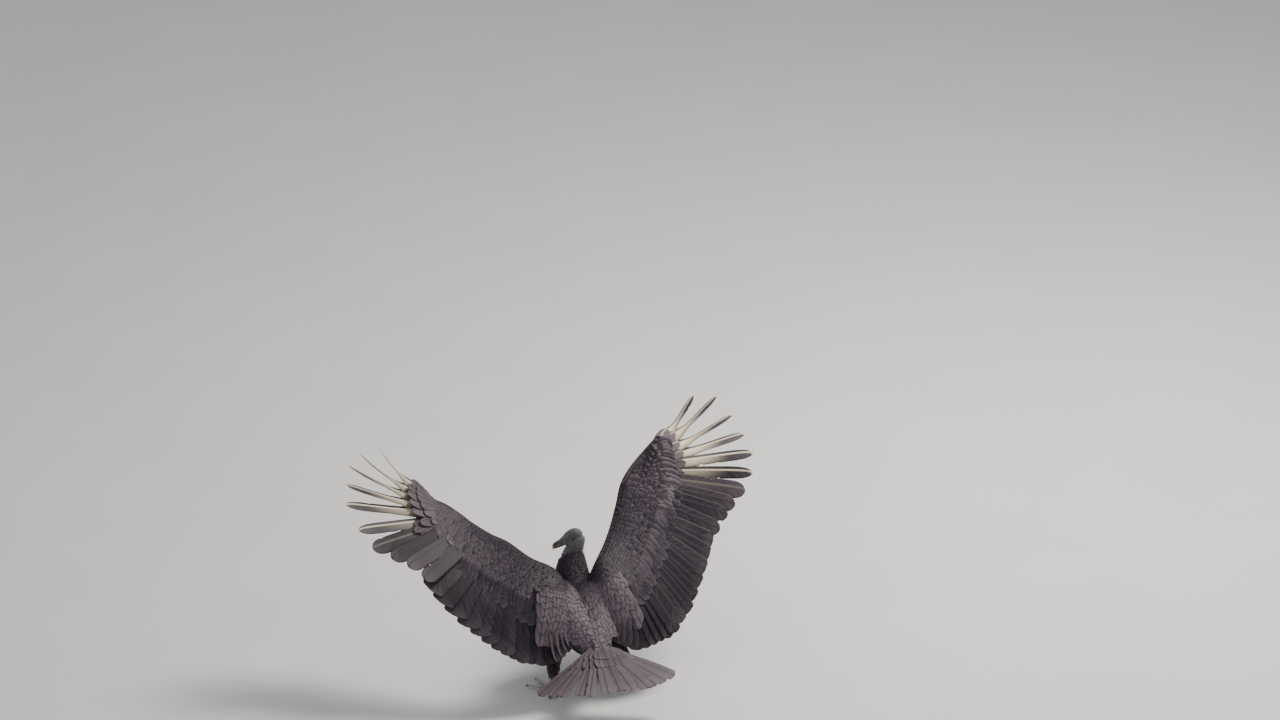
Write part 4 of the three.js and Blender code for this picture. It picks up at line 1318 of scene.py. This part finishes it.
def head_relief(p):
    """Height in millimetres added to the skin of head and neck."""
    a, s, u = head_distances(p)
    flank = ease(np.abs(s), 6, 9)
    eye = np.hypot((a - EYE_PLACE[0]) / 1.18, (u - EYE_PLACE[2]) / 0.92)
    relief = flank * (-3.4 * (1 - ease(eye, 3.6, 5.0)) + 1.3 * hill(eye, 5.9, 0.9) - 0.7 * hill(eye, 8.2, 1.2)
                      + 0.5 * hill(eye, 10.4, 1.3) * ease(-u, -4, 3))
    relief += 1.5 * hill(u, 11, 2.6) * ease(a, 0, 7) * (1 - ease(a, 22, 32)) * ease(np.abs(s), 5, 9)
    ear = np.hypot(a + 7, (u + 4) / 1.3)
    relief += flank * (-2.4 * (1 - ease(ear, 1.6, 3.4)) + 0.9 * hill(ear, 4.4, 0.9))
    mouth = u + 8.4 - 0.05 * (a - BILL_ROOT)
    along_mouth = ease(a, 11, 18)
    relief += along_mouth * (-1.0 * hill(mouth, 0, 0.8) + 0.55 * hill(np.abs(mouth), 2.2, 0.9))
    calm = 1 - 0.85 * hill(eye, 3, 4) * flank
    warp = np.array([noise.noise(Vector(q) / 9) for q in p])
    fine_warp = np.array([noise.noise(Vector(q) / 4.2) for q in p])
    ridged = 1 - np.abs(np.sin(0.62 * a + 2.6 * warp + 0.28 * np.abs(s)))
    crossed = 1 - np.abs(np.sin(0.8 * u + 3.0 * warp + 1.2 * fine_warp))
    head_fold = ease(-a, -34, -16)
    relief += calm * head_fold * (0.55 * (ridged**2 - 0.3) + 0.4 * (crossed**2 - 0.3) + 0.35 * fine_warp)
    neck_part = ease(-(p[:, 2]), -392, -376)
    ring = 1 - np.abs(np.sin((p[:, 2] + 4 * warp + 0.12 * p[:, 1]) * np.pi / 8.5))
    relief += neck_part * (1.2 * (ring**2 - 0.3) + 0.5 * fine_warp)
    return relief * bare_share(p)


def leg_relief(p):
    """Knuckles and fine pebbling of the legs."""
    pebble = np.array([noise.noise(Vector(q) / 2.4) for q in p])
    return 0.18 * pebble * leg_share(p)


places, ways = bird_frame(skin.data), outward(skin.data)
bare_rows = np.flatnonzero((bare_share(places) > 0) | (leg_share(places) > 0))
height = np.zeros(len(places))
height[bare_rows] = head_relief(places[bare_rows]) + leg_relief(places[bare_rows])
SOLE_HEIGHT = 0.05
places = places + ways * height[:, None]
places[:, 2] = np.maximum(places[:, 2], SOLE_HEIGHT)
skin.data.vertices.foreach_set("co", room(places).ravel())
skin.data.update()
skin.data.shade_smooth()
for title, values in (("relief", height), ("bare", bare_share(places)), ("leg", leg_share(places))):
    layer = skin.data.attributes.new(title, "FLOAT", "POINT")
    layer.data.foreach_set("value", values.astype(np.float32))
print("bare skin points:", len(bare_rows))

# %% [markdown]
# ## Skin finish
# Grey-black bare skin, with painted light along the ridges of its folds and painted shade in their grooves,
# and dusted with bloom on the crown; the legs are chalky grey. Voronoi cells make the pebbled grain. Under
# the coat the skin is simply dark.

# %% Skin material
skin_look, tree, shader = new_material("bare skin", Sheen_Weight=0.15, Sheen_Roughness=0.5,
                                       Specular_IOR_Level=0.4)
where = object_place(tree)
cells = step(tree, "ShaderNodeTexVoronoi", {"Vector": where, "Scale": 620.0}, feature="DISTANCE_TO_EDGE")
clouds = step(tree, "ShaderNodeTexNoise", {"Vector": where, "Scale": 60.0, "Detail": 5.0, "Roughness": 0.6})
grain = step(tree, "ShaderNodeTexNoise", {"Vector": where, "Scale": 900.0, "Detail": 3.0})
ridge = ranged(tree, mark(tree, "relief"), -0.8, 1.0)
cloud = ranged(tree, clouds.outputs["Fac"], 0.35, 0.7, 0.0, 0.5)
scale_cell = ranged(tree, cells.outputs["Distance"], 0.0, 0.12)
# painted shade and light: the head's skin darker in the grooves of its folds and paler on their ridges
head_colour_and_fold_shade = blend(tree, ridge, (0.015, 0.013, 0.016, 1), (0.085, 0.078, 0.086, 1))
head_colour_and_fold_shade = blend(tree, cloud, head_colour_and_fold_shade, (0.12, 0.112, 0.118, 1))
leg_colour = blend(tree, scale_cell, (0.13, 0.12, 0.11, 1), (0.40, 0.38, 0.35, 1))
leg_colour = blend(tree, cloud, leg_colour, (0.55, 0.53, 0.5, 1))
base = blend(tree, mark(tree, "bare"), SOOT, head_colour_and_fold_shade)
base = blend(tree, mark(tree, "leg"), base, leg_colour)
tree.links.new(base, shader.inputs["Base Color"])
tree.links.new(ranged(tree, clouds.outputs["Fac"], 0.2, 0.8, 0.5, 0.75), shader.inputs["Roughness"])
surface_height = sums(tree, "ADD", sums(tree, "MULTIPLY", grain.outputs["Fac"], 0.4), scale_cell)
raise_grain(tree, shader, surface_height, 0.5, 0.0004)
dress(skin, skin_look,
      ["trunk", "neck", "head", *(f"{part}_{name}" for name in SIDES for part in
                                  ("upper_arm", "forearm", "hand", "shank", "tarsus", "foot"))])

# %% [markdown]
# ## Bill
# The upper bill runs out over the lower one and hooks down. Both are tubes rolled on their rings; a slot on
# each side is the nostril. Horn is dark at the root and bone-pale towards the tip, with fine growth lines.

# %% Horn material
def horn_look(name, root_colour, tip_colour, roughness, low, high):
    """Horn that runs from one colour to another by the painted mark, with growth lines."""
    made, tree, shader = new_material(name, Specular_IOR_Level=0.5, Coat_Weight=0.15, Coat_Roughness=0.25)
    wear = step(tree, "ShaderNodeTexNoise", {"Vector": object_place(tree), "Scale": 260.0, "Detail": 4.0})
    worn = sums(tree, "MULTIPLY", sums(tree, "SUBTRACT", wear.outputs["Fac"], 0.5), 0.5)
    place = sums(tree, "ADD", mark(tree, "place"), worn)
    colour = blend(tree, ranged(tree, place, low, high), root_colour, tip_colour)
    tree.links.new(colour, shader.inputs["Base Color"])
    rough = ranged(tree, wear.outputs["Fac"], to_low=roughness - 0.1, to_high=roughness + 0.12)
    tree.links.new(rough, shader.inputs["Roughness"])
    growth_lines = sums(tree, "SINE", sums(tree, "MULTIPLY", place, 60.0))
    raise_grain(tree, shader, growth_lines, 0.25, 0.0002)
    return made


bill_look = horn_look("bill horn", (0.03, 0.027, 0.031, 1), (0.46, 0.39, 0.3, 1), 0.42, 0.6, 1.0)
claw_look = horn_look("claw horn", (0.03, 0.027, 0.026, 1), (0.07, 0.06, 0.055, 1), 0.35, 0.3, 1.0)


def paint_place(piece, values):
    """Paints the mark that horn materials read."""
    layer = piece.data.attributes.new("place", "FLOAT", "POINT")
    layer.data.foreach_set("value", np.asarray(values, np.float32))
    piece.data.shade_smooth()


# %% Upper and lower bill
UPPER_RINGS = [[40, 6.6, 6.8, -1.0], [47, 6.5, 6.3, -0.9], [54, 6.1, 6.0, -1.2], [60, 5.7, 5.9, -1.7],
               [66, 5.2, 5.9, -2.9], [71.5, 4.4, 5.4, -5.0], [75.5, 3.2, 4.4, -8.2], [76.6, 1.9, 2.6, -12.0],
               [75.6, 0.8, 1.2, -15.4]]
LOWER_RINGS = [[40, 5.7, 3.7, -11], [50, 5.5, 3.4, -11.1], [60, 4.7, 2.9, -11.2], [68, 3.4, 2.2, -11.2],
               [72.5, 1.6, 1.1, -11.0]]
bill_upper = rolled("bill_horn_upper", head_surface(UPPER_RINGS), 70, 48)
places, ways = bird_frame(bill_upper.data), outward(bill_upper.data)
a, s, u = head_distances(places)
slot = np.hypot((a - 53) / 3.2, u - 0.4)
ridge = hill(s, 0, 1.6) * ease(u, 1, 4)
relief = 0.35 * ridge - 1.9 * (1 - ease(slot, 0.4, 1.1)) + 0.3 * hill(slot, 1.35, 0.25)
places = places + ways * relief[:, None]
bill_upper.data.vertices.foreach_set("co", room(places).ravel())
bill_upper.data.update()
paint_place(bill_upper, (a - BILL_ROOT) / (BILL_TIP - 1 - BILL_ROOT))
dress(bill_upper, bill_look, ["bill_upper"])
bill_lower = rolled("bill_horn_lower", head_surface(LOWER_RINGS), 50, 36)
ahead = head_distances(bird_frame(bill_lower.data))[0]
paint_place(bill_lower, (ahead - BILL_ROOT) / (BILL_TIP - 1 - BILL_ROOT))
dress(bill_lower, bill_look, ["bill_lower"])

# %% [markdown]
# ## Eyes
# A ball seated in the skull so that only the front shows between the lids. The mark on it is the angle from
# the middle of the pupil, and the material turns that into pupil, dark brown iris and a dark rim under a wet
# coat.

# %% Eye material and balls
eye_look, tree, shader = new_material("eye", Roughness=0.08, Coat_Weight=1.0, Coat_Roughness=0.02)
bands = step(tree, "ShaderNodeValToRGB", {0: mark(tree, "place")})
PUPIL = (0.003, 0.003, 0.003, 1)
IRIS = (0.045, 0.019, 0.009, 1)
IRIS_EDGE = (0.03, 0.013, 0.007, 1)
RIM = (0.006, 0.004, 0.004, 1)
stops = ((0.0, PUPIL), (0.36, PUPIL), (0.40, IRIS), (0.66, IRIS_EDGE), (0.74, RIM))
while len(bands.color_ramp.elements) < len(stops):
    bands.color_ramp.elements.new(0.5)
for element, (position, colour) in zip(bands.color_ramp.elements, stops):
    element.position, element.color = position, colour
flecks = step(tree, "ShaderNodeTexNoise", {"Vector": object_place(tree), "Scale": 1500.0, "Detail": 2.0})
dim = ranged(tree, flecks.outputs["Fac"], 0.3, 0.7, 0.6, 1.0)
tree.links.new(blend(tree, 1.0, bands.outputs[0], dim, "MULTIPLY"), shader.inputs["Base Color"])

for name, side in SIDES.items():
    centre = head_at(EYE_PLACE[0], side * EYE_PLACE[1], EYE_PLACE[2])
    bpy.ops.object.select_all(action="DESELECT")
    bpy.ops.mesh.primitive_uv_sphere_add(segments=40, ring_count=24, radius=1)
    ball = bpy.context.object
    ball.name = f"eyeball_{name}"
    unit_points = np.array([v.co[:] for v in ball.data.vertices])
    gaze = unit(HEAD_SIDE * side + HEAD_RUN * 0.22 + HEAD_UP * 0.05)
    bulge = 1 + 0.07 * ease(unit_points @ gaze, 0.75, 1.0)
    ball.data.vertices.foreach_set("co", room(centre + unit_points * bulge[:, None] * EYE_RADIUS).ravel())
    ball.data.update()
    paint_place(ball, np.arccos(np.clip(unit_points @ gaze, -1, 1)))
    dress(ball, eye_look, [f"eye_{name}"])

# %% [markdown]
# ## Claws and the scales of the feet
# Each claw is a short curved horn. Broad plates overlap along the top of each toe and smaller ones cover the
# leg; they are vanes again, only short, thick and stiff.

# %% Claws
for name, side in SIDES.items():
    for toe, (_, length, _) in TOES.items():
        size = 16 if toe == "middle" else 12
        outline = ((-4, 5.0, 3.0), (size * 0.3, 5.4, 2.6), (size * 0.7, 4.2, 1.7), (size, 1.5, 0.5))
        horn = [[*toe_point(side, toe, length + past, height), radius] for past, height, radius in outline]
        talon = rolled(f"talon_{toe}_{name}", limb_surface(horn), 22, 18)
        reach = np.hypot(*(bird_frame(talon.data)[:, :2] - np.array([side * FOOT[0], FOOT[1]])).T)
        paint_place(talon, (reach - length + 4) / (size + 4))
        dress(talon, claw_look, [f"claw_{toe}_{name}"])


# %% Scales
def scale_plates(name):
    """Plates laid on the toes and the leg."""
    side, batches = SIDES[name], []
    for toe, (_, toe_length, _) in TOES.items():
        starts = np.linspace(0.1, 0.93, int(toe_length / 3.1))
        roots = np.stack([starts, 0 * starts], -1)
        batches.append((limb_surface(toe_points(side, toe)), roots, 4.6, 7.4, 0.5))
    roots = rows_of(np.linspace(0.12, 0.9, 20), lambda t: 9, low=-np.pi, high=np.pi)
    batches.append((limb_surface(tarsus_points(side)), roots, 4.2, 4.8, 0.4))
    points, lengths, widths, unwraps = [], [], [], []
    for number, (surface, roots, long, wide, deep) in enumerate(batches):
        copies = len(roots)
        length, width = np.full(copies, long), np.full(copies, wide)
        flow = surface(roots[:, 0] + 0.03, roots[:, 1]) - surface(*roots.T)
        points.append(lay(surface, -1, roots, unit(flow), length, width, deep, 0.22, SMALL_VANE, point=0.5,
                          crown=0.1, fray=0.0, tilt=0.0))
        lengths.append(length)
        widths.append(width)
        unwraps.append(np.stack([(number + 0.5 + roots[:, 1] / 7) / 5, roots[:, 0]], -1))
    points, unwrap = np.concatenate(points), np.concatenate(unwraps)
    points[..., 2] = np.maximum(points[..., 2], 0.3)
    return coat(f"foot_scales_{name}", points, SMALL_VANE, unwrap, np.concatenate(lengths),
                np.concatenate(widths), 0.5)


scale_look, tree, shader = new_material("leg scales", Specular_IOR_Level=0.35)
dust = step(tree, "ShaderNodeTexNoise", {"Vector": object_place(tree), "Scale": 140.0, "Detail": 5.0})
shade = blend(tree, mark(tree, "tone"), (0.28, 0.265, 0.25, 1), (0.46, 0.44, 0.41, 1))
dirt = ranged(tree, dust.outputs["Fac"], 0.4, 0.7, 0.0, 0.6)
tree.links.new(blend(tree, dirt, shade, (0.16, 0.15, 0.14, 1)), shader.inputs["Base Color"])
tree.links.new(ranged(tree, dust.outputs["Fac"], 0.0, 1.0, 0.5, 0.8), shader.inputs["Roughness"])
raise_grain(tree, shader, dust.outputs["Fac"], 0.4, 0.0004)
for name in SIDES:
    dress(scale_plates(name), scale_look)
